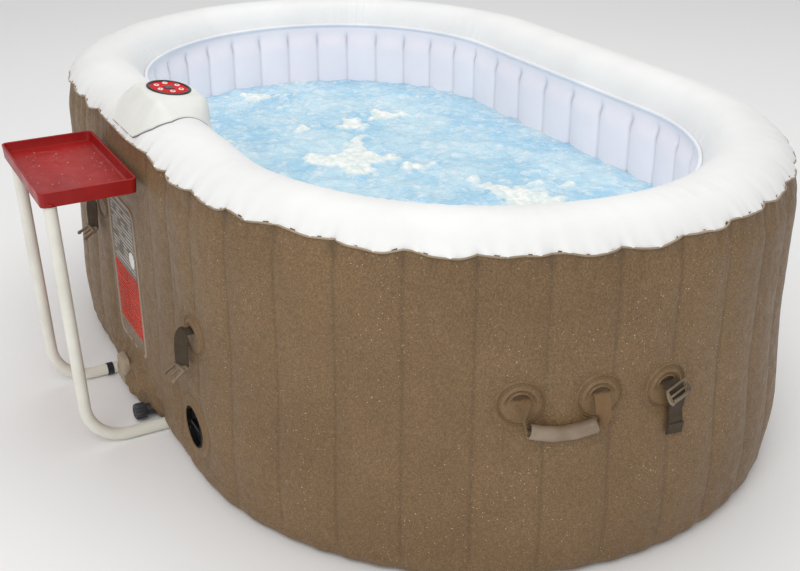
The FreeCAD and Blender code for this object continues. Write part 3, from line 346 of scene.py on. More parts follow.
M = {
    "skin": leatherette("brown_leatherette", tone(119, 90, 56), tone(133, 103, 67)),
    "patch": leatherette("brown_patch", tone(122, 94, 60), tone(136, 107, 73), 0.35, 0.6),
    "edge": leatherette("taupe_edge", tone(150, 134, 112), tone(176, 160, 138), 0.0, 0.3),
    "rim": vinyl("white_rim", tone(236, 236, 235), tone(243, 243, 242), (0.4, 0.55)),
    "liner": vinyl("pale_liner", tone(252, 245, 251), tone(255, 250, 255), (0.45, 0.6), 0.35),
    "piping": vinyl("white_piping", tone(232, 234, 240), tone(246, 246, 250)),
    "ground": vinyl("ground_sheet", tone(84, 78, 70), tone(104, 98, 88), (0.5, 0.65)),
    "foam": vinyl("foam_pad", tone(66, 70, 76), tone(86, 90, 96), (0.8, 0.95)),
    "web": vinyl("web_panel", tone(196, 196, 192), tone(214, 214, 210)),
    "ivory": moulded("ivory_plastic", tone(228, 228, 222), tone(236, 236, 231), (0.5, 0.62), 420.0, 0.08),
    # painted shadow: grey for the gap under the saddle cover's edge
    "gap_shade": moulded("gap_shadow", tone(110, 108, 112), tone(134, 132, 134), (0.7, 0.9)),
    "grey": moulded("grey_plastic", tone(140, 142, 145), tone(160, 162, 165)),
    "dark": moulded("dark_plastic", tone(40, 42, 46), tone(58, 60, 64)),
    "motor": moulded("motor_metal", tone(130, 132, 136), tone(170, 172, 176), (0.3, 0.5), metallic=0.9),
    "steel": moulded("heater_steel", tone(170, 172, 176), tone(205, 206, 210), (0.2, 0.36), metallic=1.0),
    "hose": moulded("hose_rubber", tone(34, 34, 36), tone(52, 52, 54), (0.5, 0.7)),
    "filter": moulded("filter_paper", tone(222, 226, 228), tone(238, 240, 242), (0.85, 0.95), 300.0, 0.4),
    "bezel": moulded("bezel_black", tone(14, 16, 18), tone(34, 36, 40), (0.18, 0.32)),
    "red": moulded("panel_red", tone(205, 0, 6), tone(220, 6, 10), (0.4, 0.5), Specular_IOR_Level=0.2),
    "display": moulded("display_dark", tone(44, 30, 32), tone(64, 48, 50), (0.10, 0.22)),
    "segment": moulded("display_marks", tone(150, 150, 150), tone(178, 178, 176), (0.3, 0.4)),
    "board": moulded("board_green", tone(22, 84, 48), tone(34, 104, 62)),
    "button": moulded("button_white", tone(236, 232, 228), tone(248, 246, 242), (0.3, 0.42)),
    "mark": moulded("button_mark", tone(186, 30, 30), tone(206, 52, 46), (0.35, 0.5)),
    "strap": woven("strap_webbing", tone(54, 43, 30), tone(84, 69, 50), 1500.0),
    "handle": woven("handle_webbing", tone(112, 86, 56), tone(140, 112, 78), 1800.0),
    "buckle": moulded("buckle_plastic", tone(96, 82, 66), tone(140, 122, 100), (0.34, 0.5), 260.0, 0.2),
    "grip": moulded("grip_rubber", tone(128, 110, 90), tone(156, 138, 118), (0.34, 0.5), 240.0, 0.4),
    "port": moulded("port_black", tone(4, 4, 4), tone(10, 10, 10), (0.5, 0.7), Specular_IOR_Level=0.2),
    "film": clear_film("clear_pocket"),
    "card": printed("grey_card", tone(126, 120, 112), tone(206, 202, 194), 118.0, 0.5, 38.0),
    "notice": printed("orange_card", tone(214, 46, 10), tone(104, 18, 6), 130.0, 0.62, 26.0),
    "tray": moulded("tray_red", tone(146, 14, 14), tone(166, 26, 22), (0.34, 0.5), 160.0, 0.16,
                    Specular_IOR_Level=0.35),
    # pale, glossy drops: real water whose glint is painted in as a paler colour
    "bead_glint": moulded("water_bead_glint", tone(176, 96, 92), tone(216, 160, 154), (0.05, 0.12)),
    "leg": moulded("leg_enamel", tone(228, 226, 214), tone(240, 238, 228), (0.34, 0.48), 620.0, 0.22),
    "collar": moulded("collar_black", tone(22, 26, 30), tone(44, 46, 50), (0.3, 0.5)),
    "water": foam_water("foamy_water"),
    "floor": paper_floor("studio_floor"),
}

CAD_FINISH = {
    "inner_piping": "piping", "base_sheet": "ground", "floor_liner": "liner", "wall_ribs": "web",
    "bubble_channel": "liner", "machine_case": "grey", "inner_column": "ivory", "filter_housing": "grey",
    "filter_cartridge": "filter", "filter_grille": "ivory", "return_nozzle": "ivory", "pump_casing": "dark",
    "pump_impeller": "grey", "pump_motor": "motor", "heater_tube": "steel", "unit_hoses": "hose",
    "blower_casing": "dark", "blower_fan": "grey", "control_board": "board", "inflation_port": "port",
    "drain_body": "dark", "stand_leg_near": "leg", "stand_leg_far": "leg", "leg_fittings": "collar",
}


# ------------------------------------------------------------------ mesh building

class Shape:
    """Vertices and faces gathered from the parts of one piece."""

    def __init__(self):
        self.verts = []
        self.faces = []

    def add(self, verts, faces, place=None):
        start = len(self.verts)
        if place is not None:
            verts = [place @ Vector(v) for v in verts]
        self.verts += [tuple(v) for v in verts]
        self.faces += [tuple(start + i for i in face) for face in faces]
        return self

    def grid(self, points, wrap_rows=False, wrap_columns=False, place=None, caps=False):
        """A net of points, rows by columns, joined round where asked."""
        rows, columns = points.shape[:2]
        faces = []
        for i in range(rows if wrap_rows else rows - 1):
            for j in range(columns if wrap_columns else columns - 1):
                below, right = (i + 1) % rows, (j + 1) % columns
                here, under = i * columns, below * columns
                faces.append((here + j, here + right, under + right, under + j))
        if caps:
            faces.append(tuple(range(columns))[::-1])
            faces.append(tuple((rows - 1) * columns + j for j in range(columns)))
        return self.add(points.reshape(-1, 3), faces, place)

    def tube(self, path, radius, sides=10, closed=False, flat=1.0, place=None):
        """A round bar along a line of points, or an oval one where flat isn't 1."""
        path = [Vector(p) for p in path]
        count = len(path)
        radii = radius if hasattr(radius, "__len__") else [radius] * count
        rings, normal = [], None
        for i, point in enumerate(path):
            after = path[(i + 1) % count] if closed or i < count - 1 else point
            before = path[i - 1] if closed or i > 0 else point
            ahead = (after - before).normalized()
            if normal is None:
                normal = ahead.orthogonal().normalized()
            normal = (normal - ahead * normal.dot(ahead)).normalized()
            across = ahead.cross(normal)
            rings.append([point + (normal * math.cos(a) + across * math.sin(a) * flat) * radii[i]
                          for a in (2 * math.pi * k / sides for k in range(sides))])
        return self.grid(np.array(rings, float), closed, True, place, not closed)

    def plate(self, outline, low, high, place=None):
        """A flat plate: an outline of (across, up) points, from low to high along local x."""
        count = len(outline)
        verts = [(x, a, b) for x in (low, high) for a, b in outline]
        faces = [tuple(range(count))[::-1], tuple(range(count, 2 * count))]
        faces += [(i, (i + 1) % count, count + (i + 1) % count, count + i) for i in range(count)]
        return self.add(verts, faces, place)

    def turned(self, profile, steps=48, place=None, axis="X"):
        """A turned shape: a profile of (radius, height along the axis), closed where a radius is 0."""
        rings = []
        for radius, height in profile:
            ring = []
            for k in range(steps):
                a = 2 * math.pi * k / steps
                c, s = radius * math.cos(a), radius * math.sin(a)
                ring.append((height, c, s) if axis == "X" else (c, s, height))
            rings.append(ring)
        return self.grid(np.array(rings, float), False, True, place)


def piece(name, shape, body, finish, replaces=(), sharp=40.0, fields=None, place=None, bevel=0.0):
    """Makes one named piece that rides on a body, and hides the CAD nodes that it replaces."""
    mesh = bpy.data.meshes.new(name)
    mesh.from_pydata(shape.verts, [], shape.faces)
    for label, values in (fields or {}).items():
        mesh.attributes.new(label, "FLOAT", "POINT").data.foreach_set("value",
                                                                      np.asarray(values, np.float32).ravel())
    work = bmesh.new()
    work.from_mesh(mesh)
    if place is not None:
        work.transform(place)
    bmesh.ops.remove_doubles(work, verts=work.verts, dist=2e-6)
    bmesh.ops.dissolve_degenerate(work, edges=work.edges, dist=1e-7)
    bmesh.ops.recalc_face_normals(work, faces=work.faces)
    work.to_mesh(mesh)
    work.free()
    mesh.shade_smooth()
    mesh.set_sharp_from_angle(angle=math.radians(sharp))
    made = bpy.data.objects.new(name, mesh)
    bpy.context.scene.collection.objects.link(made)
    mesh.materials.append(M[finish])
    if bevel:
        edge = made.modifiers.new("soft_edges", "BEVEL")
        edge.width, edge.segments, edge.limit_method = bevel, 3, "ANGLE"
        edge.angle_limit = math.radians(35.0)
    if body is not None:
        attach(made, body)
    if replaces:
        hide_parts(*replaces)
    return made


def smooth(value, low, high):
    """0 below low, 1 above high, smooth between."""
    t = np.clip((np.asarray(value, float) - low) / (high - low), 0.0, 1.0)
    return t * t * (3 - 2 * t)


def bell(value, width):
    """1 at zero, falling away over about width on both sides."""
    return np.exp(-(np.asarray(value, float) / width) ** 2)


def circle(count):
    """Evenly spaced angles, once round."""
    return np.linspace(0, 2 * math.pi, count + 1)[:-1]


def spread(values, count):
    """Values spread evenly along a line, read at count places."""
    return np.interp(np.linspace(0, 1, count), np.linspace(0, 1, len(values)), values)


def rounded_box(half_x, half_y, corner, step, spans=1):
    """Points round a box with round corners, one each step degrees, with spans along each straight side."""
    arcs = []
    for cx, cy, first in ((1, 1, 0), (-1, 1, 90), (-1, -1, 180), (1, -1, 270)):
        middle = np.array([cx * (half_x - corner), cy * (half_y - corner)])
        turns = np.radians(np.arange(first, first + 91, step))
        arcs.append(middle + corner * np.stack([np.cos(turns), np.sin(turns)], -1))
    points = []
    for arc, after in zip(arcs, arcs[1:] + arcs[:1]):
        points += [*arc, *(arc[-1] + (after[0] - arc[-1]) * k / spans for k in range(1, spans))]
    return points


def rough_field(x, y, z, scale, seed=0.0):
    """Blender's own Perlin noise at each point."""
    shift = Vector((seed, 1.7 * seed, -seed))
    spots = zip(np.ravel(x), np.ravel(y), np.ravel(z))
    return np.array([noise.noise(Vector(p) * scale + shift) for p in spots]).reshape(np.shape(x))


def station(u):
    """Middle-line x and outward direction at distances u round the outer wall, from the -Y side's -X end."""
    u = np.mod(u, ROUND)
    leg = np.searchsorted([2 * HALF, 2 * HALF + END, 4 * HALF + END], u, side="right")
    still = 0.0 * u
    turn = np.choose(leg, [still - math.pi / 2, (u - 2 * HALF) / TUB - math.pi / 2, still + math.pi / 2,
                           (u - 4 * HALF - END) / TUB + math.pi / 2])
    along = np.choose(leg, [u - HALF, still + HALF, 3 * HALF + END - u, still - HALF])
    return along, np.cos(turn), np.sin(turn)


def arc_at(along, turn):
    """The distance round the outer wall of a place given by its middle-line x and its angle in degrees."""
    if turn == -90.0:
        return along + HALF
    if turn == 90.0:
        return 3 * HALF + END - along
    if along > 0:
        return 2 * HALF + math.radians(turn + 90.0) * TUB
    return 4 * HALF + END + math.radians(turn - 90.0) * TUB


STRAIGHT_LINES = (-0.275, -0.165, -0.055, 0.055, 0.165, 0.275)
END_LINES = [math.radians((k - 8) * 10.6 + 90.8) * TUB for k in range(17)]
LINES = np.array(sorted(
    [HALF + x for x in STRAIGHT_LINES if abs(x) > 0.1] + [2 * HALF + e for e in END_LINES]
    + [3 * HALF + END + x for x in STRAIGHT_LINES] + [4 * HALF + END + e for e in END_LINES]))


def stations_round(spacing):
    """Distances round the wall, evenly spaced in each cell and with one on every weld line."""
    found = []
    for here, there in zip(LINES, [*LINES[1:], LINES[0] + ROUND]):
        count = max(6, round((there - here) / spacing))
        found += [here + (there - here) * k / count for k in range(count)]
    return np.array(found)


def cell_of(u):
    """Share of the way across its cell, the distance to the nearest weld line, and the cell's number."""
    u = np.mod(np.asarray(u, float), ROUND)
    after = np.searchsorted(LINES, u, side="right")
    start = np.where(after == 0, LINES[-1] - ROUND, LINES[after - 1])
    stop = np.where(after == len(LINES), LINES[0] + ROUND, LINES[after % len(LINES)])
    share = (u - start) / (stop - start)
    return share, np.minimum(share, 1 - share) * (stop - start), after % len(LINES)


def ring_points(u, out, up):
    """Points round the tub at offsets out and heights up, given as rows by columns."""
    along, cosine, sine = station(u)
    return np.stack([along + out * cosine, out * sine, up + 0 * out], axis=-1)


# ------------------------------------------------------------------ the air-filled skins

STRAPS = (
    (HALF, -0.1, 0.347, "ladder"), (HALF, -85.3, 0.330, "prong"), (-0.195, -90.0, 0.395, "prong"),
    (-HALF, 179.9, 0.347, "ladder"), (-HALF, 94.7, 0.330, "prong"), (0.195, 90.0, 0.395, "prong"),
)
HANDLES = (("front", HALF, -17.9), ("rear", -HALF, 162.1))
HANDLE_HEIGHT, HANDLE_STEP = 0.355, math.degrees(0.066 / TUB)
PATCHES = [(along, turn, height) for along, turn, height, kind in STRAPS]
PATCHES += [(along, turn + step, HANDLE_HEIGHT) for side, along, turn in HANDLES for step in (-HANDLE_STEP,
                                                                                              HANDLE_STEP)]
PORT = (0.347, 0.117)
PORT_TURN = -90.0 + math.degrees((PORT[0] - HALF) / TUB)
PORT_HOLE = 0.0445
LABEL = (-0.140, 0.045, 0.110, 0.450)


def drawn_in(u):
    """How far the skin stays inside the CAD's rim and upper wall: most at the -X end, none at the cover."""
    along, cosine, sine = station(u)
    at_cover = bell(np.where(sine < -0.999, along - 0.01, FAR), 0.20)
    return (0.0025 + 0.0150 * np.maximum(0.0, -cosine) + 0.0100 * np.maximum(0.0, sine)) * (1 - at_cover)


def seam_folds(u, z):
    """Small creases where the wall is gathered in to the rim."""
    return np.sin(u * 190.0 + 3.0 * np.sin(u * 19.0 + 5.0 * z)) + 0.6 * np.sin(u * 113.0 + 7.0 * z)


def wall_offset(u, z):
    """How far the outer skin stands out from the CAD wall: cells, weld lines, a belly and a creased foot."""
    share, near, _ = cell_of(u)
    x = np.where((u > 0) & (u < 2 * HALF), u - HALF, FAR)
    crown = 1 - np.abs(2 * share - 1) ** 2.4
    held_in = smooth(z, 0.02, 0.13) * (1 - smooth(z, 0.53, 0.602))
    out = -0.0012 + 0.0052 * crown * (0.30 + 0.70 * held_in) - 0.0006 * bell(near, 0.0030)
    out += (0.0085 + 0.0060 * np.maximum(0.0, station(u)[1])) * bell(z - 0.130, 0.140)
    out -= 0.0040 * bell(near, 0.009) * bell(z - 0.592, 0.026)
    out += 0.0013 * smooth(z, 0.545, 0.600) * seam_folds(u, z) * (0.4 + 0.6 * crown)
    foot = 1 - smooth(z, 0.0, 0.085)
    out += 0.0014 * foot * np.sin(u * 95.0 + 2.0 * np.sin(u * 11.0))
    out += 0.0012 * rough_field(u, z * 0.8, 0 * u, 9.0) + 0.0008 * rough_field(u, z, 0 * u, 31.0, 5.0)
    out = np.maximum(out, -0.0019)
    out -= (0.0025 + drawn_in(u)) * smooth(z, 0.543, 0.602)
    for along, turn, height in PATCHES:
        away = np.hypot(u - arc_at(along, turn), z - height)
        out = out + (0.0002 - out) * (1 - smooth(away, 0.041, 0.062))
    away = np.hypot(u - arc_at(HALF, PORT_TURN), z - PORT[1])
    out = out + (0.0 - out) * (1 - smooth(away, 0.064, 0.105))
    outside = np.hypot(np.maximum(0, np.maximum(LABEL[0] - x, x - LABEL[1])),
                       np.maximum(0, np.maximum(LABEL[2] - z, z - LABEL[3])))
    out = out + (0.0 - out) * (1 - smooth(outside, 0.0, 0.05))
    slump = bell(x + 0.020, 0.125) * bell(z - 0.036, 0.050)
    out += 0.028 * slump
    rumple = bell(x + 0.01, 0.17) * (1 - smooth(z, 0.07, 0.125))
    out += 0.0045 * rumple * np.sin(70.0 * x + 95.0 * z + 2.5 * np.sin(31.0 * x - 40.0 * z))
    out += 0.0075 * rumple * (rough_field(u * 1.2, z * 1.5, 0 * u, 24.0, 2.0)
                              + 0.6 * rough_field(u, z * 2.0, 0 * u, 55.0, 8.0))
    return out


def edge_radius(u, z):
    """Radius of the rim's surface near its outer edge, at a height."""
    reach = RIM - drawn_in(u) - 0.0045 * bell(cell_of(u)[1], 0.010)
    return RIM_ACROSS + np.sqrt(reach ** 2 - np.clip(z - RIM_HEIGHT, 0.0, 0.9 * reach) ** 2)


def make_outer_wall():
    """The brown skin: foot, crowned cells and gathered top, then down inside, with a hole for the port."""
    u = stations_round(SKIN_STEP)
    rows_out, rows_up = [], []
    x = station(u)[0]
    front = (u > 0) & (u < 2 * HALF)
    for angle in np.radians(np.linspace(-90.0, 0.0, 13)[:-1]):
        out = FOOT_OUT + FOOT * math.cos(angle) + 0 * u
        up = FOOT_UP + FOOT * math.sin(angle) + 0 * u
        push = wall_offset(u, up) * max(0.0, math.cos(angle)) ** 0.5
        push += 0.0022 * bell(math.degrees(angle) + 38.0, 9.0)
        rows_out.append(out + push * math.cos(angle))
        rows_up.append(np.maximum(0.0015, up + 0.35 * push * math.sin(angle)))
    seam = RIM_HEIGHT + RIM * np.sin(rim_edge(u)) + 0.001
    for share in np.linspace(0.0, 1.0, 104):
        z = FOOT_UP + (seam - FOOT_UP) * share
        out = TUB + wall_offset(u, z)
        tuck = smooth(z, seam - 0.024, seam - 0.004)
        rows_out.append(out + (np.minimum(out, edge_radius(u, z) - 0.0014) - out) * tuck)
        rows_up.append(z)
    out, up = np.array(rows_out), np.array(rows_up)
    for leg in LEG_X:
        arch = bell(np.where(front, x - leg, FAR), 0.024)
        up = np.maximum(up, 0.0315 * arch[None, :] * (up < 0.0315))
        out = out - 0.006 * arch[None, :] * (1 - smooth(up, 0.03, 0.06))
    inner_z = np.array([0.602, 0.45, 0.30, 0.15, 0.050])
    inner_out = np.array([0.598, 0.606, 0.606, 0.606, 0.598])
    out = np.vstack([out, inner_out[:, None] + 0 * u[None, :]])
    up = np.vstack([up, inner_z[:, None] + 0 * u[None, :]])
    shape = Shape().grid(ring_points(u, out, up), True, True)
    near = cell_of(u)[1][None, :] + 0 * up
    below = seam[None, :] - up
    # darkening: the weld lines themselves, then painted shade in the gathers at their tops, in the seam's
    # creases and in a band just under the rim
    weld_and_shade = 0.55 * bell(near, 0.0026) * smooth(up, 0.02, 0.05)
    weld_and_shade += 0.9 * bell(near, 0.008) * bell(below - 0.012, 0.018)
    weld_and_shade += 0.55 * smooth(-seam_folds(u, up), 0.2, 1.4) * bell(below, 0.026)
    weld_and_shade = np.minimum(1.0, np.maximum(weld_and_shade, 0.6 * (1 - smooth(below, 0.0, 0.012))))
    keep = [math.hypot(x - PORT[0], z - PORT[1]) > PORT_HOLE or y > -0.5 for x, y, z in shape.verts]
    shape.faces = [face for face in shape.faces if any(keep[i] for i in face)]
    return piece("wall_skin", shape, "tub", "skin", ["outer_wall"], 70.0, {"weld_and_shade": weld_and_shade})


def rim_edge(u):
    """The angle on the rim's arc where its white skin ends: highest at a weld line, drooping between."""
    share, _, cell = cell_of(u)
    skewed = share ** (1.35 + 0.45 * np.sin(cell * 2.9))
    droop = 1 - np.abs(2 * skewed - 1) ** 2.4
    wander = 0.0014 * np.sin(cell * 2.4 + 5.0 * share) + 0.0008 * np.sin(cell * 5.1 + 11.0 * share)
    height = 0.6130 + 0.0055 * bell(u - 2 * HALF - 0.27, 0.26)
    height -= (0.0068 + 0.0022 * np.sin(cell * 1.7)) * droop - wander * droop
    return np.arcsin((height - RIM_HEIGHT) / RIM)


def make_rim():
    """The white rim, and the vinyl trim along its outer seam."""
    u = stations_round(SKIN_STEP)
    near = cell_of(u)[1]
    start = rim_edge(u)
    cosine = station(u)[1]
    bent = np.where((cosine ** 2) > 1e-9, 1.0, 0.0)
    bent = np.convolve(np.concatenate([bent[-20:], bent, bent[:20]]), np.ones(41) / 41, "valid")
    steps = np.linspace(0.0, 1.0, 78)
    steps = steps * (0.58 + 0.42 * steps)
    out, up, weld_and_shade = [], [], []
    for t in steps:
        angle = start + (RIM_STOP - start) * t
        edge = np.degrees(angle - start)
        lift = -0.0048 * bell(near, 0.011) * np.exp(-edge / 8.0)
        lift += 0.0014 * np.exp(-edge / 9.0) * np.sin(u * 260.0 + 2.5 * np.sin(u * 17.0))
        lift += 0.0013 * np.exp(-edge / 22.0) * np.sin(u * 118.0 + 2.0 * np.sin(u * 9.0) + 0.02 * edge)
        inner = smooth(t, 0.45, 0.95)
        fold = np.sin(u * 175.0 + 3.2 * np.sin(u * 23.0) + 2.0 * t) + 0.6 * np.sin(u * 301.0 + 1.3)
        patchy = smooth(rough_field(u, t + 0 * u, 0 * u, 3.2, 4.0), 0.0, 0.35)
        lift += 0.0013 * bent * (0.25 + 0.75 * inner) * fold * patchy * (1 - smooth(t, 0.97, 1.0))
        wave = np.sin(34.0 * t + 3.0 * np.sin(u * 4.6) + 1.5 * np.sin(u * 11.0))
        lift += 0.0012 * smooth(-cosine, 0.3, 0.8) * wave * bell(t - 0.30, 0.20)
        lift += 0.0020 * rough_field(u, 0.5 * t + 0 * u, 0 * u, 4.5,
                                     7.0) * np.sin(math.pi * min(1.0, t + 0.1))
        lift -= drawn_in(u) * (1 - smooth(np.degrees(angle), 70.0, 130.0))
        out.append(RIM_ACROSS + (RIM + lift) * np.cos(angle))
        up.append(RIM_HEIGHT + (RIM + lift) * np.sin(angle))
        # painted shade in the puckers where weld lines meet the rim's edge
        weld_and_shade.append(0.55 * bell(near, 0.005) * np.exp(-edge / 4.0))
    for t in np.linspace(1.0, 0.0, 12):
        angle = start + (RIM_STOP - start) * t
        reach = RIM - 0.006 - drawn_in(u) * (1 - t)
        out.append(RIM_ACROSS + reach * np.cos(angle))
        up.append(RIM_HEIGHT + reach * np.sin(angle))
        weld_and_shade.append(0 * u)
    shape = Shape().grid(ring_points(u, np.array(out), np.array(up)), True, True)
    piece("rim_skin", shape, "tub", "rim", ["top_rim"], 60.0, {"weld_and_shade": np.array(weld_and_shade)})

    reach = RIM + 0.0004 - 0.0048 * bell(near, 0.011) - drawn_in(u)
    trim = ring_points(u, RIM_ACROSS + reach * np.cos(start), RIM_HEIGHT + reach * np.sin(start))
    shape = Shape().tube(trim, 0.0018, 7, True)
    piece("rim_trim", shape, "tub", "edge", sharp=80.0,
          fields={"weld_and_shade": np.zeros(len(shape.verts))})


def make_liner():
    """The pale inner wall: crowned cells that lie flat behind the inner column."""
    u = stations_round(0.0070)
    share, near, _ = cell_of(u)
    crown = 1 - np.abs(2 * share - 1) ** 2.2
    flat = bell(np.where(u < 2 * HALF, u - HALF + 0.025, FAR), 0.12)
    out, up, weld_and_shade = [], [], []
    for z in np.linspace(0.5835, 0.026, 84):
        body = smooth(z, 0.03, 0.10) * (1 - smooth(z, 0.520, 0.572))
        lift = 0.0085 * crown * body * (1 - 0.85 * flat) - 0.0012 * bell(near, 0.003) * body
        lift -= 0.0060 * bell(near, 0.0100) * bell(z - 0.551, 0.012)
        lift += 0.0012 * rough_field(u, z + 0 * u, 0 * u, 11.0, 3.0) * body
        out.append(INSIDE + 0.0002 - lift)
        up.append(z + 0 * u)
        # the weld lines, and painted shade in the dimples at their top ends
        line = 0.42 * bell(near, 0.0030) * body + 0.8 * bell(near + 0.0015, 0.0060) * bell(z - 0.543, 0.016)
        weld_and_shade.append(np.minimum(1.0, line))
    for z in (0.026, 0.2, 0.4, 0.5835):
        out.append(INSIDE + 0.010 + 0 * u)
        up.append(z + 0 * u)
        weld_and_shade.append(0 * u)
    shape = Shape().grid(ring_points(u, np.array(out), np.array(up)), True, True)
    piece("basin_liner", shape, "tub", "liner", ["inner_wall"], 70.0, {"weld_and_shade": np.array(weld_and_shade)})


def even_stations(spacing):
    """Evenly spaced distances, the same on both long sides, so that a net may close up along the middle."""
    side, end = round(2 * HALF / spacing), round(END / spacing)
    straight = np.linspace(0.0, 2 * HALF, side, endpoint=False)
    curved = np.linspace(0.0, END, end, endpoint=False)
    return np.concatenate([straight, 2 * HALF + curved, 2 * HALF + END + straight, 4 * HALF + END + curved])


def make_floor_cushion():
    """The soft pad under the basin's floor, with shallow quilting."""
    low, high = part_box("floor_pad")
    reach = high.y
    u = even_stations(0.028)
    out, up = [], []
    for side in (1, -1):
        shares = np.linspace(0.0, 1.0, 26)
        for share in (shares if side > 0 else shares[::-1]):
            out.append(reach * share + 0 * u)
            edge = 1 - smooth(share, 0.96, 1.0)
            quilt = 0.0015 * abs(math.sin(share * 24.0))
            middle = (low.z + high.z) / 2
            thick = (high.z - low.z) / 2
            up.append(middle + side * (thick - quilt) * max(0.25, float(edge)) + 0 * u)
    shape = Shape().grid(ring_points(u, np.array(out), np.array(up)), False, True)
    made = piece("floor_cushion", shape, "tub", "foam", ["floor_pad"], sharp=80.0,
                 fields={"weld_and_shade": np.zeros(len(shape.verts))})


def make_water():
    """The bubbling water: a rough surface whose mounds are foam, on a shallow body."""
    u = even_stations(0.0070)
    reach = INSIDE - 0.0005
    out = np.array([reach * s + 0 * u for s in np.linspace(1.0, 0.0, 76)])
    flat = ring_points(u, out, 0 * out)
    x, y = flat[..., 0], flat[..., 1]
    mound = rough_field(x, y, 0 * x, 5.2, 11.0) + 0.6 * rough_field(x, y, 0 * x, 13.0, 4.0)
    centre = bell(np.hypot((x - 0.12) / 0.75, (y + 0.02) / 0.36), 1.0)
    fine = rough_field(x, y, 0 * x, 40.0, 9.0)
    foam = 0.85 * smooth(mound + 0.22 * centre + 0.32 * fine, 0.26, 0.80)
    chop = 0.0050 * rough_field(x, y, 0 * x, 9.0, 1.0) + 0.0050 * rough_field(x, y, 0 * x, 22.0, 2.0)
    chop += 0.0040 * fine + 0.0022 * rough_field(x, y, 0 * x, 78.0, 6.0)
    edge = smooth(reach - out, 0.0, 0.03)
    height = WATER + chop * (0.45 + 0.55 * edge) + foam * edge * (0.007 + 0.006 * np.abs(fine))
    rows = [ring_points(u, out[0], WATER - 0.03 + 0 * u), *np.stack([x, y, height], -1)]
    base = [ring_points(u, reach * s + 0 * u, WATER - 0.03 + 0 * u) for s in (1.0, 0.5, 0.0)]
    shape = Shape().grid(np.array(rows), False, True).grid(np.array(base)[:, ::-1], False, True)
    fields = np.concatenate([0 * u, foam.ravel(), 0 * u, 0 * u, 0 * u])
    piece("water", shape, "tub", "water", sharp=85.0, fields={"foam": fields})


# ------------------------------------------------------------------ control unit

SADDLE_PROFILE = ((0.6260, 0.597), (0.6200, 0.613), (0.5680, 0.6700), (0.5590, 0.6785), (0.5500, 0.6809),
                  (0.4560, 0.6674), (0.4490, 0.6640), (0.4440, 0.6570), (0.4400, 0.6430), (0.4385, 0.572))


def profile_reach(angle):
    """Distance from the rim's arc centre to the saddle's profile, at an angle up from the outer side."""
    across, up = math.cos(angle), math.sin(angle)
    for (y0, z0), (y1, z1) in zip(SADDLE_PROFILE, SADDLE_PROFILE[1:]):
        a0, b0, a1, b1 = y0 - RIM_ACROSS, z0 - RIM_HEIGHT, y1 - RIM_ACROSS, z1 - RIM_HEIGHT
        cross = across * (b1 - b0) - up * (a1 - a0)
        if abs(cross) < 1e-9:
            continue
        reach = (a0 * (b1 - b0) - b0 * (a1 - a0)) / cross
        share = (up * a0 - across * b0) / cross
        if -1e-6 <= share <= 1 + 1e-6 and reach > 0:
            return reach
    return RIM


SADDLE_ANGLES = (38.5, 44.0, 60.0, 83.0, 110.0, 145.0, 172.0)
SADDLE_MIDDLE = (0.015, 0.017, 0.012, 0.001, -0.018, -0.024, -0.025)
SADDLE_REACH = (0.067, 0.078, 0.108, 0.128, 0.122, 0.102, 0.094)
SADDLE_TOP = (0.062, 0.066, 0.070, 0.070, 0.064, 0.060, 0.062)


def make_saddle():
    """The ivory cover: a leaning top round the panel, a broad outer face and sloping sides onto the rim."""
    angles = np.linspace(SADDLE_ANGLES[0], 171.0, 120)
    across = np.concatenate([[-1.04], np.linspace(-1.0, 1.0, 91), [1.04]])
    middle = np.interp(angles, SADDLE_ANGLES, SADDLE_MIDDLE)
    reach = np.interp(angles, SADDLE_ANGLES, SADDLE_REACH)
    top = np.interp(angles, SADDLE_ANGLES, SADDLE_TOP)
    lift = np.zeros((len(angles), len(across)))
    for i, angle in enumerate(angles):
        proud = profile_reach(math.radians(angle)) - RIM
        slope = np.clip((1 - np.abs(across)) * reach[i] / (reach[i] - top[i]), 0.0, 1.0)
        lift[i] = np.maximum(proud, 0.002) * slope + 0.0028 * (1 - slope)
    for _ in range(4):
        soft = lift.copy()
        soft[1:-1, 1:-1] = (lift[:-2, 1:-1] + lift[2:, 1:-1] + lift[1:-1, :-2] + lift[1:-1, 2:]
                            + 2 * lift[1:-1, 1:-1]) / 6
        lift = soft
    lift[:, 0] = lift[:, -1] = -0.005
    up_way = PANEL.to_3x3() @ Vector((0.0, 0.0, 1.0))
    centre = PANEL.translation
    points = np.zeros((len(angles), 2 * len(across), 3))
    for i, angle in enumerate(np.radians(angles)):
        for layer, height in ((0, lift[i]), (1, 0 * lift[i] - 0.006)):
            line = across if layer == 0 else across[::-1]
            x = middle[i] + line * reach[i]
            y = -RIM_ACROSS - (RIM + height) * math.cos(angle)
            z = RIM_HEIGHT + (RIM + height) * math.sin(angle)
            if layer == 0:
                level = centre.z - (up_way.x * (x - centre.x) + up_way.y * (y - centre.y)) / up_way.z
                away = np.hypot(x - centre.x, y - centre.y)
                z = z + (level - 0.0001 - z) * (1 - smooth(away, 0.047, 0.062)) * (math.degrees(angle) > 45.0)
            points[i, layer * len(across):(layer + 1) * len(across)] = np.stack([x, y, z], -1)
    shape = Shape().grid(points, False, True, caps=True)
    piece("saddle_cover", shape, "tub", "ivory", ["control_saddle"], 50.0)

    # a thin grey tube round the cover's foot: painted shadow in the gap between cover and rim
    turns = np.radians(angles)
    line = [(middle[i] + 1.03 * reach[i], a) for i, a in enumerate(turns)][::-1]
    line += [(middle[0] + s * reach[0], turns[0] - 0.006) for s in np.linspace(0.9, -0.9, 12)]
    line += [(middle[i] - 1.03 * reach[i], a) for i, a in enumerate(turns)]
    seat = RIM + 0.0002
    path = [(x, -RIM_ACROSS - seat * math.cos(a), RIM_HEIGHT + seat * math.sin(a)) for x, a in line]
    piece("saddle_gap_shadow", Shape().tube(path, 0.0010, 6), "tub", "gap_shade", sharp=80.0)


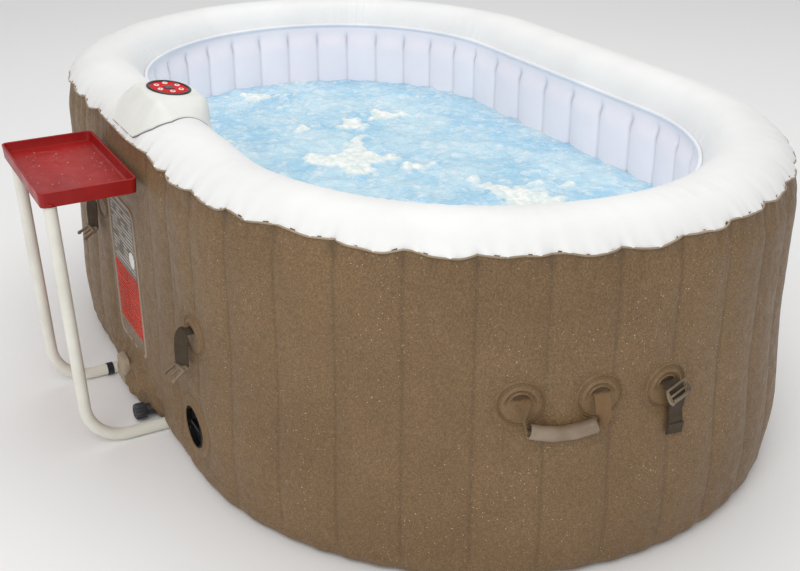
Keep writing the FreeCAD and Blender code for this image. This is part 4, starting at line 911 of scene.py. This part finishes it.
def make_panel():
    """The round control panel: bezel, red face, display and six domed buttons with plain marks."""
    bezel = Shape().turned([(0.0384, -0.018), (0.0384, 0.0016), (0.0390, 0.0024), (0.0410, 0.0028),
                            (0.0436, 0.0024), (0.0449, 0.0013), (0.0450, -0.0016), (0.0412, -0.0016),
                            (0.0409, -0.018)], 96, PANEL, "Z")
    bezel.faces += [(8 * 96 + k, 8 * 96 + (k + 1) % 96, (k + 1) % 96, k) for k in range(96)]
    piece("panel_ring", bezel, "tub", "bezel", ["panel_bezel"])

    face = Shape().turned([(0.0, -0.005), (0.0376, -0.005), (0.0377, 0.0004), (0.0370, 0.0010),
                           (0.016, 0.0012), (0.0, 0.0012)], 96, PANEL, "Z")
    ridge = [(0.0335 * math.cos(a), 0.0335 * math.sin(a), 0.0011) for a in circle(96)]
    face.tube(ridge, 0.0005, 6, True, place=PANEL)
    spots = [(0.025 * math.cos(a), 0.025 * math.sin(a)) for a in (math.radians(60.0 * k) for k in range(6))]
    for x, y in spots:
        ring = [(x + 0.0064 * math.cos(b), y + 0.0064 * math.sin(b), 0.0012) for b in circle(24)]
        face.tube(ring, 0.0005, 6, True, place=PANEL)
    piece("panel_face", face, "tub", "red", ["panel_fascia"])

    def square(side, corner, height):
        points = rounded_box(side, side, corner, 30)
        rows = [[(x * k, y * k, z) for x, y in points] for k, z in ((1, -0.002), (1, height - 0.0004),
                                                                    (0.96, height))]
        return Shape().grid(np.array(rows), False, True, PANEL, True)

    piece("panel_screen", square(0.0098, 0.0024, 0.0022), "tub", "display",
          ["display_window"])
    marks = Shape()
    bars = [(-0.0060, 0.0026, 0.0011, 0.0034), (-0.0012, 0.0026, 0.0034, 0.0010),
            (-0.0012, -0.0004, 0.0034, 0.0010), (0.0050, 0.0026, 0.0011, 0.0034),
            (-0.0060, -0.0044, 0.0034, 0.0010), (0.0004, -0.0044, 0.0050, 0.0010)]
    for x, y, wide, tall in bars:
        outline = [(x, y - tall / 2), (x + wide, y - tall / 2), (x + wide, y + tall / 2), (x, y + tall / 2)]
        verts = [(a, b, z) for z in (0.0018, 0.0025) for a, b in outline]
        faces = [(3, 2, 1, 0), (4, 5, 6, 7)] + [(i, (i + 1) % 4, 4 + (i + 1) % 4, 4 + i) for i in range(4)]
        marks.add(verts, faces, PANEL)
    piece("screen_marks", marks, "tub", "segment")

    def mark(kind):
        """A small raised sign, drawn flat in x and y."""
        if kind == "power":
            ring = [(0.0021 * math.sin(b), 0.0021 * math.cos(b), 0) for b in np.linspace(0.7, 5.58, 18)]
            return [ring, [(0, 0.0008, 0), (0, 0.0030, 0)]]
        if kind == "heat":
            return [[(x + 0.0006 * math.sin(t * 9), -0.002 + 0.004 * t, 0) for t in np.linspace(0, 1, 9)]
                    for x in (-0.0017, 0.0, 0.0017)]
        if kind == "bubbles":
            return [[(x + 0.0009 * math.cos(b), y + 0.0009 * math.sin(b), 0) for b in np.linspace(0, 6.28,
                                                                                                  13)]
                    for x, y in ((-0.0013, -0.001), (0.0014, -0.0007), (0.0, 0.0016))]
        if kind in ("up", "down"):
            way = 1 if kind == "up" else -1
            return [[(-0.0022, -0.001 * way, 0), (0, 0.0014 * way, 0), (0.0022, -0.001 * way, 0)]]
        return [[(-0.0022, y, 0), (0.0022, y, 0)] for y in (-0.0014, 0.0, 0.0014)]

    profile = [(0.0, -0.006), (0.0056, -0.006), (0.0056, 0.0018), (0.0053, 0.0026), (0.0048, 0.0030),
               (0.0028, 0.0027), (0.0, 0.0026)]
    for (x, y), kind in zip(spots, ("power", "heat", "bubbles", "up", "filter", "down")):
        name = "button_" + kind
        here = PANEL @ Matrix.Translation((x, y, 0.0))
        cap = Shape().turned(profile, 40, here, "Z")
        piece("cap_" + kind, cap, name, "button", [name], 35.0)
        sign = Shape()
        for line in mark(kind):
            sign.tube(line, 0.0004, 6, place=here @ Matrix.Translation((0.0, 0.0, 0.0029)))
        piece("sign_" + kind, sign, name, "mark", sharp=80.0)


# ------------------------------------------------------------------ fittings on the wall

def pivot_frame(joint, tilt=0.0):
    """The local frame of a strap or handle: x out of the wall, y sideways, z up, with its pivot as origin."""
    side = -Vector(joint["axis"])
    out = side.cross(Vector((0, 0, 1)))
    turn = Matrix((out, side, Vector((0, 0, 1)))).transposed().to_4x4()
    return Matrix.Translation(joint["pos_m"]) @ turn @ Matrix.Rotation(math.radians(-tilt), 4, "Y")


def on_wall(along, turn, height, across, up, out):
    """Points across and up from a place on the wall, lifted by out and following the wall's curve."""
    u = arc_at(along, turn) + across
    return ring_points(u, TUB + out, height + up)


def make_patches():
    """Ten round welded patches with raised rings and a half-moon slot for the webbing."""
    body, dark = Shape(), []
    radii = np.concatenate([np.linspace(0.0, 0.0205, 24), np.linspace(0.0212, 0.0415, 38)])
    turns = circle(120)
    radius, angle = np.meshgrid(radii, turns, indexing="ij")
    across, up = radius * np.cos(angle), radius * np.sin(angle)
    upper = smooth(up, -0.010, 0.012)
    rise = 0.0014 + 0.0021 * bell(radius - 0.0388, 0.0010) + 0.0018 * bell(radius - 0.0350, 0.0009)
    rise += 0.0044 * bell(radius - 0.0275, 0.0036) * upper
    rise += 0.0034 * bell(radius - 0.0190, 0.0015) * smooth(up, 0.004, 0.008)
    inside = (1 - smooth(radius, 0.0160, 0.0178)) * smooth(up, 0.0048, 0.0064)
    rise -= 0.0036 * inside
    rise -= 0.0012 * smooth(radius, 0.0402, 0.0415)
    rise = np.maximum(rise, 0.0004)
    # painted shade in the rings' grooves, inside the half-moon slot and round the patch's edge
    groove_shade = 0.85 * bell(radius - 0.0369, 0.0009) + 0.60 * bell(radius - 0.0325, 0.0013) * upper
    groove_shade += 0.75 * bell(radius - 0.0222, 0.0012) * upper
    shade = np.minimum(1.0, 1.6 * inside + groove_shade + 0.25 * smooth(radius, 0.0400, 0.0412))
    for along, turn, height in PATCHES:
        top = on_wall(along, turn, height, across, up, rise)
        back = on_wall(along, turn, height, across[::-1], up[::-1], -0.002 + 0 * rise)
        body.grid(np.concatenate([top, back]), False, True)
        dark.append(np.concatenate([shade, 0 * radius]).ravel())
    piece("patch_discs", body, "tub", "patch", ["weld_patches"], 60.0,
          {"weld_and_shade": np.concatenate(dark)})


def ribbon(centre, across, wide, thick):
    """A flat band along centre points, with its width along the across vectors."""
    rows = []
    count = len(centre)
    for i in range(count):
        middle = Vector(centre[i])
        ahead = (Vector(centre[min(i + 1, count - 1)]) - Vector(centre[max(i - 1, 0)])).normalized()
        side = Vector(across[i])
        side = (side - ahead * side.dot(ahead)).normalized()
        face = ahead.cross(side)
        half = (wide[i] if hasattr(wide, "__len__") else wide) / 2
        t = thick / 2
        ring = [(-half, -t * 0.3), (-half * 0.97, -t), (0, -t * 1.1), (half * 0.97, -t), (half, -t * 0.3),
                (half, t * 0.3), (half * 0.97, t), (0, t * 1.1), (-half * 0.97, t), (-half, t * 0.3)]
        rows.append([middle + side * a + face * b for a, b in ring])
    return Shape().grid(np.array(rows, float), False, True, caps=True)


def curve_through(points, count):
    """Points along a smooth line through a few given ones."""
    points = [Vector(p) for p in points]
    padded = [2 * points[0] - points[1], *points, 2 * points[-1] - points[-2]]
    found = []
    for k in range(count):
        t = k / (count - 1) * (len(points) - 1)
        i = min(int(t), len(points) - 2)
        s = t - i
        a, b, c, d = padded[i:i + 4]
        found.append(0.5 * (2 * b + (c - a) * s + (2 * a - 5 * b + 4 * c - d) * s * s
                            + (3 * b - a - 3 * c + d) * s ** 3))
    return found


def frame_bar(shape, half_wide, high, low, bar, place):
    """A rectangular frame of four rounded bars."""
    corners = [(0, -half_wide, high), (0, half_wide, high), (0, half_wide, low), (0, -half_wide, low)]
    for first, second in zip(corners, corners[1:] + corners[:1]):
        shape.tube(curve_through([first, second], 4), bar, 8, place=place)


def make_strap(number, kind):
    """One lid strap: its webbing, which bends at the patch, and the half of a buckle at its end."""
    body = f"strap_{number}"
    here = pivot_frame(joints[f"{body}_swing"])
    back = Vector((-0.0078, 0.0, 0.0098))
    if kind == "ladder":
        line = [back, (-0.0010, 0.001, 0.0092), (0.0060, 0.006, 0.0040), (0.0085, 0.011, -0.010),
                (0.0070, 0.015, -0.030), (0.0040, 0.017, -0.050), (0.0062, 0.0175, -0.070),
                (0.0030, 0.018, -0.092)]
        twist = [0.0, 0.05, 0.15, 0.20, 0.10, -0.08, 0.05, 0.16]
    else:
        line = [back, (0.0005, -0.001, 0.0105), (0.0085, -0.003, 0.0095), (0.0130, -0.005, -0.001),
                (0.0145, -0.007, -0.020), (0.0150, -0.008, -0.040), (0.0150, -0.009, -0.060)]
        twist = [0.0, -0.12, -0.35, -0.52, -0.60, -0.55, -0.50]
    count = 44
    centre = curve_through(line, count)
    turns = spread(twist, count)
    across = [Vector((math.sin(a), math.cos(a), 0.0)) for a in turns]
    wide = np.interp(np.linspace(0, 1, count), (0.0, 0.10, 0.3, 1.0), (0.026, 0.028, 0.030, 0.0295))
    web = ribbon(centre, across, wide, 0.0022)
    if kind == "ladder":
        ahead = Vector((0.0023, 0.0, 0.0005))
        hem = curve_through([Vector(line[-1]) + ahead, Vector(line[-2]) + ahead], 8)
        fold = ribbon(hem, [across[-1]] * 8, 0.0295, 0.0022)
        web.add(fold.verts, fold.faces)
    made = piece(f"strap_{number}_webbing", web, None, "strap", [f"strap_web_{number}"],
                 50.0, place=here)
    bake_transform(made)

    buckle = Shape()
    if kind == "ladder":
        tilt = Matrix.Rotation(math.radians(24.0), 4, "X") @ Matrix.Rotation(math.radians(-14.0), 4, "Y")
        at = Matrix.Translation((0.0125, 0.0105, -0.005)) @ tilt
        frame_bar(buckle, 0.0180, 0.0130, -0.0130, 0.0022, at)
        buckle.tube([(0.001, -0.0175, 0.0005), (0.001, 0.0175, 0.0005)], 0.0020, 8, place=at)
        bow = [(0.003, -0.0160, -0.0085), (0.0042, 0.0, -0.0090), (0.003, 0.0160, -0.0085)]
        buckle.tube(bow, 0.0026, 8, place=at)
        for side in (-1, 1):
            prong = curve_through([(0, side * 0.0170, 0.014), (0.002, side * 0.0215, 0.006),
                                   (0.002, side * 0.0225, -0.006), (0, side * 0.0185, -0.015)], 10)
            buckle.tube(prong, 0.0023, 8, place=at)
    else:
        lean = Matrix.Rotation(math.radians(-60.0), 4, "Y") @ Matrix.Rotation(math.radians(-14.0), 4, "X")
        at = Matrix.Translation((0.0150, -0.009, -0.0600)) @ Matrix.Rotation(0.35, 4, "Z") @ lean
        frame_bar(buckle, 0.0165, 0.0030, -0.0080, 0.0022, at)
        buckle.tube([(0, -0.0190, -0.0060), (0, 0.0190, -0.0060)], 0.0042, 8, place=at)
        for side in (-1, 1):
            prong = curve_through([(0, side * 0.0140, -0.006), (0, side * 0.0148, -0.014),
                                   (0, side * 0.0156, -0.022),
                                   (0, side * 0.0162, -0.030), (0, side * 0.0150, -0.0350)], 14)
            buckle.tube(prong, [0.0030] * 9 + [0.0036, 0.0040, 0.0040, 0.0034, 0.0022], 8, place=at)
        buckle.tube([(0, 0, -0.008), (0, 0, -0.027)], [0.0027, 0.0018], 8, place=at)
    made = piece(f"strap_{number}_clasp", buckle, body, "buckle",
                 [f"strap_buckle_{number}"], place=here)
    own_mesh(made)


def make_handle(side):
    """A carry handle: two twisted runs of webbing and a rubber grip between them."""
    body = f"handle_{side}"
    here = pivot_frame(joints[f"{body}_swing"], 7.0)
    web = Shape()
    runs = (
        ([(-0.0075, -0.0650, 0.0095), (-0.0002, -0.0650, 0.0085), (0.0050, -0.0648, -0.002),
          (0.0065, -0.0650, -0.016), (0.0048, -0.0620, -0.029), (0.0015, -0.0580, -0.0400),
          (0.0, -0.049, -0.0440)],
         (0.0, 0.45, 1.35, 1.90, 1.95, 1.80, 1.60), (0.027, 0.027, 0.024, 0.018, 0.015)),
        ([(-0.0075, 0.0655, 0.0095), (-0.0002, 0.0655, 0.0085), (0.0055, 0.0660, -0.004),
          (0.0070, 0.0668, -0.018), (0.0050, 0.0664, -0.030), (0.0015, 0.0615, -0.0405),
          (0.0, 0.052, -0.0440)],
         (0.0, 0.0, 0.02, 0.12, 0.70, 1.40, 1.60), (0.027, 0.027, 0.026, 0.019, 0.015)),
    )
    for line, swing, widths in runs:
        count = 48
        centre = curve_through(line, count)
        turns = spread(swing, count)
        across = [Vector((math.sin(a), math.cos(a), 0.10)) for a in turns]
        wide = np.interp(np.linspace(0, 1, count), (0.0, 0.25, 0.6, 0.85, 1.0), widths)
        part = ribbon(centre, across, wide, 0.0020)
        web.add(part.verts, part.faces)
    made = piece(f"handle_{side}_webbing", web, None, "handle", [f"handle_web_{side}"],
                 50.0, place=here)
    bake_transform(made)

    half, steps, sides = 0.0565, np.linspace(-1.0, 1.0, 34), 28
    rows = []
    for radius_at in ("outer", "inner"):
        for share in (steps if radius_at == "outer" else steps[::-1]):
            sag = -0.0430 - 0.0095 * math.cos(share * math.pi / 2)
            slant = 0.0095 * math.sin(share * math.pi / 2) * math.pi / 2 / half
            radius = 0.0126 if radius_at == "outer" else 0.0096
            if radius_at == "outer":
                radius += 0.0004 * float(bell(abs(share) - 0.95, 0.05))
                radius -= 0.0010 * float(smooth(abs(share), 0.985, 1.0))
                radius -= 0.0006 * math.cos(share * 9.0) * (1 - abs(share))
            up = Vector((0, -slant, 1)).normalized()
            rows.append([Vector((0.001, 0.0015 + half * share, sag)) + Vector((1, 0,
                                                                               0)) * radius * math.cos(a)
                         + up * radius * math.sin(a) for a in circle(sides)])
    grip = Shape().grid(np.array(rows, float), True, True)
    piece(f"handle_{side}_grip", grip, body, "grip", [f"handle_grip_{side}"], 45.0, place=here)


def make_port():
    """The flush ring round the inflation port, and its cap."""
    radii = np.concatenate([np.linspace(0.0425, 0.050, 10), np.linspace(0.052, 0.066, 14)])
    turns = circle(96)
    radius, angle = np.meshgrid(radii, turns, indexing="ij")
    rise = 0.0012 + 0.0022 * bell(radius - 0.0460, 0.0028) + 0.0010 * bell(radius - 0.0625, 0.0014)
    rise -= 0.0011 * smooth(radius, 0.064, 0.066)
    across, up = radius * np.cos(angle), radius * np.sin(angle)
    top = on_wall(HALF, PORT_TURN, PORT[1], across, up, rise + 0.0022 * (1 - smooth(radius, 0.047, 0.052)))
    back = on_wall(HALF, PORT_TURN, PORT[1], across[::-1], up[::-1], -0.003 + 0 * rise)
    ring = Shape().grid(np.concatenate([top, back]), True, True)
    piece("port_ring", ring, "tub", "patch", sharp=60.0,
          fields={"weld_and_shade": np.zeros(len(ring.verts))})

    low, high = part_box("port_cap")
    place = Matrix.Translation(((low.x + high.x) / 2, 0.0,
                                (low.z + high.z) / 2)) @ Matrix.Rotation(-math.pi / 2, 4, "Z")
    outer = (high.x - low.x) / 2
    front = -low.y
    disc = front - 0.0075
    cap = Shape().turned([(0.0, -high.y), (outer, -high.y), (outer, disc - 0.001), (outer - 0.0015, disc),
                          (outer - 0.006, disc), (outer - 0.008, disc - 0.0035),
                          (outer - 0.014, disc - 0.0035), (outer - 0.016, disc - 0.001),
                          (0.0, disc - 0.001)], 72, place)
    tab = [(-0.023, -0.0035), (0.023, -0.0035), (0.024, -0.0020), (0.024, 0.0020), (0.023, 0.0035),
           (-0.023, 0.0035), (-0.024, 0.0020), (-0.024, -0.0020)]
    cap.plate(tab, disc - 0.004, front - 0.0005, place)
    piece("port_lid", cap, "port_cap", "port", ["port_cap"], 35.0, bevel=0.0006)


def make_drain_cap():
    """A dark fluted knob."""
    low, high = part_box("drain_cap")
    x, z = (low.x + high.x) / 2, (low.z + high.z) / 2
    radius = (high.x - low.x) / 2
    rows = []
    for depth, share in ((high.y, 0.90), (high.y - 0.002, 0.98), (low.y + 0.010, 1.0), (low.y + 0.003, 0.97),
                         (low.y + 0.0008, 0.90), (low.y, 0.80), (low.y + 0.0004, 0.55),
                         (low.y + 0.0022, 0.50), (low.y + 0.0022, 0.02)):
        ring = []
        for k in range(144):
            a = 2 * math.pi * k / 144
            flute = 1 - 0.10 * (0.5 - 0.5 * math.cos(9 * a)) ** 0.8 * (1 if share > 0.75 else 0)
            reach = radius * share * flute
            ring.append((x + reach * math.cos(a), depth, z + reach * math.sin(a)))
        rows.append(ring)
    shape = Shape().grid(np.array(rows), False, True, caps=True)
    piece("drain_knob", shape, "drain_cap", "dark", ["drain_cap"])


def make_gland():
    """The power lead's plate: a soft rounded square with a raised ring."""
    low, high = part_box("cord_gland")
    x, z = (low.x + high.x) / 2, (low.z + high.z) / 2
    face = -TUB - float(wall_offset(np.array([x + HALF]), np.array([z]))[0]) + 0.003
    rows = []
    for share, rise in ((1.50, 0.006), (1.45, -0.004), (1.36, -0.0070), (1.0, -0.0085), (0.86, -0.0110),
                        (0.72, -0.0120), (0.60, -0.0110), (0.52, -0.0070), (0.22, -0.0070), (0.02, -0.0070)):
        ring = []
        for k in range(72):
            a = 2 * math.pi * k / 72
            power = 4.0 if share > 1.2 else 2.0
            reach = 0.0200 * share / (abs(math.cos(a)) ** power + abs(math.sin(a)) ** power) ** (1 / power)
            ring.append((x + reach * math.cos(a), face + rise, z + reach * math.sin(a) * 1.1))
        rows.append(ring)
    shape = Shape().grid(np.array(rows), False, True, caps=True)
    piece("gland_plate", shape, "tub", "edge", ["cord_gland"], 60.0,
          {"weld_and_shade": np.zeros(len(shape.verts))})


def make_label():
    """A clear pocket welded to the wall, with two blank cards in it."""
    left, right, bottom, top = LABEL
    face = -TUB

    middle_x, middle_z = (left + right) / 2, (bottom + top) / 2

    def loops(levels):
        """Rounded outlines, each given as its inset, its corner's radius and how far it stands out."""
        rows = []
        for inset, corner, out in levels:
            outline = rounded_box((right - left) / 2 - inset, (top - bottom) / 2 - inset, corner, 15)
            rows.append([(middle_x + x, face - out, middle_z + z) for x, z in outline])
        return np.array(rows)

    border = loops([(-0.002, 0.024, -0.001), (-0.002, 0.024, 0.0012), (0.001, 0.021, 0.0024),
                    (0.005, 0.018, 0.0022), (0.008, 0.015, 0.0012), (0.008, 0.015, -0.001)])
    piece("pocket_weld", Shape().grid(border, True, True), "tub", "edge", sharp=60.0,
          fields={"weld_and_shade": np.zeros(border.shape[0] * border.shape[1])})
    film = loops([(0.004, 0.018, 0.0016), (0.020, 0.012, 0.0023), (0.060, 0.004, 0.0023),
                  (0.0905, 0.001, 0.0021)])
    back = film[::-1] + np.array([0.0, 0.0006, 0.0])
    piece("pocket_film", Shape().grid(np.concatenate([film, back]), True, True), "tub", "film",
          ["label_pocket"], sharp=60.0)

    def card(name, low_x, high_x, low_z, high_z, finish):
        xs, zs = np.linspace(low_x, high_x, 14), np.linspace(low_z, high_z, 14)
        gx, gz = np.meshgrid(xs, zs)
        bow = 0.0008 + 0.0003 * np.sin(gx * 40.0) * np.sin(gz * 30.0)
        front = np.stack([gx, face - bow, gz], -1)
        back = np.stack([gx, face - 0.0001 + 0 * bow, gz], -1)
        shape = Shape().grid(np.concatenate([front, back[::-1]]), True, False)
        inside = (gx > low_x + 0.010) & (gx < high_x - 0.012) & (gz > low_z + 0.008) & (gz < high_z - 0.008)
        printed_area = np.concatenate([inside.astype(float), 0.0 * gx])
        piece(name, shape, "tub", finish, sharp=40.0, fields={"print": printed_area})

    card("card_upper", left + 0.010, right - 0.012, 0.292, top - 0.010, "card")
    card("card_lower", left + 0.010, right - 0.012, 0.150, 0.288, "notice")
    place = Matrix.Translation((right - 0.040, -TUB, 0.330)) @ Matrix.Rotation(-math.pi / 2, 4, "Z")
    badge = Shape().turned([(0.0, 0.0014), (0.017, 0.0014), (0.0175, 0.0010), (0.0175, 0.0)], 40, place)
    piece("card_badge", badge, "tub", "button", sharp=40.0)


# ------------------------------------------------------------------ tray

def make_tray():
    """The tray: one moulding with a rolled edge, two shallow rests and sockets, and drops of water on it."""
    low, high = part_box("tray")
    middle, half = (low + high) / 2, (high - low) / 2
    floor, underside = 0.5450, 0.5420

    def loop(inset, corner):
        return rounded_box(half.x - inset, half.y - inset, corner, 10, 40)

    def floor_height(x, y):
        z = floor
        for cx, cy in ((-0.095, -0.020), (-0.035, -0.040)):
            away = math.hypot(x - cx, y - cy)
            z -= 0.0014 * (1 - float(smooth(away, 0.0335, 0.0365)))
            z += 0.0005 * float(bell(away - 0.0385, 0.0016))
        return z

    rows = []
    for scale in (0.02, 0.5):
        rows.append([(middle.x + x * scale, middle.y + y * scale, underside) for x, y in loop(0.006, 0.008)])
    for inset, corner, z in ((0.0060, 0.008, underside), (0.0052, 0.009, 0.5365), (0.0045, 0.009, 0.5352),
                             (0.0030, 0.010, 0.5352), (0.0024, 0.010, 0.5370), (0.0006, 0.012, 0.5615),
                             (0.0000, 0.012, 0.5632), (0.0004, 0.012, 0.5644), (0.0016, 0.011, 0.5650),
                             (0.0036, 0.010, 0.5648), (0.0046, 0.009, 0.5638), (0.0066, 0.008, 0.5490),
                             (0.0076, 0.007, 0.5464), (0.0100, 0.006, 0.5452)):
        rows.append([(middle.x + x, middle.y + y, z) for x, y in loop(inset, corner)])
    for scale in np.linspace(0.985, 0.01, 44):
        rows.append([(middle.x + x * scale, middle.y + y * scale, floor_height(x * scale, y * scale))
                     for x, y in loop(0.0115, 0.005)])
    shape = Shape().grid(np.array(rows), False, True, caps=True)
    for x in LEG_X:
        socket = Matrix.Translation((x, -SOCKET, 0.0))
        shape.turned([(0.0131, 0.5352), (0.0158, 0.5352), (0.0162, underside), (0.0131, underside),
                      (0.0131, 0.5352)], 32, socket, "Z")
    piece("tray_moulding", shape, "tray", "tray", ["tray"], 35.0)

    chance = random.Random(7)
    beads_and_glints = Shape()
    for _ in range(110):
        x = middle.x + chance.uniform(-1, 1) * (half.x - 0.015)
        y = middle.y + chance.uniform(-1, 1) * (half.y - 0.015)
        size = 0.0005 + 0.0012 * chance.random() ** 2.5
        long = 1.0 + (3.0 * chance.random() if chance.random() > 0.85 else 0.3 * chance.random())
        spin = chance.uniform(0, math.pi)
        z = floor_height(x - middle.x, y - middle.y) - 0.0002
        rings = []
        for share, rise in ((1.0, 0.0), (0.92, 0.30), (0.65, 0.62), (0.25, 0.80), (0.02, 0.82)):
            rings.append([(size * share * long * math.cos(a), size * share * math.sin(a), size * rise)
                          for a in circle(10)])
        place = Matrix.Translation((x, y, z)) @ Matrix.Rotation(spin, 4, "Z")
        beads_and_glints.grid(np.array(rings), False, True, place, True)
    # the drops' paler colour is a painted glint
    piece("tray_drops", beads_and_glints, "tray", "bead_glint", sharp=80.0)


def make_ground():
    """The floor, which belongs to the studio and not to the object."""
    mesh = bpy.data.meshes.new("studio_ground")
    work = bmesh.new()
    bmesh.ops.create_grid(work, x_segments=8, y_segments=8, size=20.0)
    work.to_mesh(mesh)
    work.free()
    ground = bpy.data.objects.new("studio_ground", mesh)
    bpy.context.scene.collection.objects.link(ground)
    mesh.materials.append(M["floor"])


def paint_cad():
    """Gives the CAD nodes that stay visible, or show through an opening, their materials."""
    for name, finish in CAD_FINISH.items():
        mesh = nodes[name].data
        mesh.materials.clear()
        mesh.materials.append(M[finish])


make_camera()
make_studio()
make_ground()
paint_cad()
make_outer_wall()
make_rim()
make_liner()
make_floor_cushion()
make_water()
make_saddle()
make_panel()
make_patches()
for number, strap in enumerate(STRAPS, 1):
    make_strap(number, strap[-1])
for handle in HANDLES:
    make_handle(handle[0])
make_port()
make_drain_cap()
make_gland()
make_label()
make_tray()
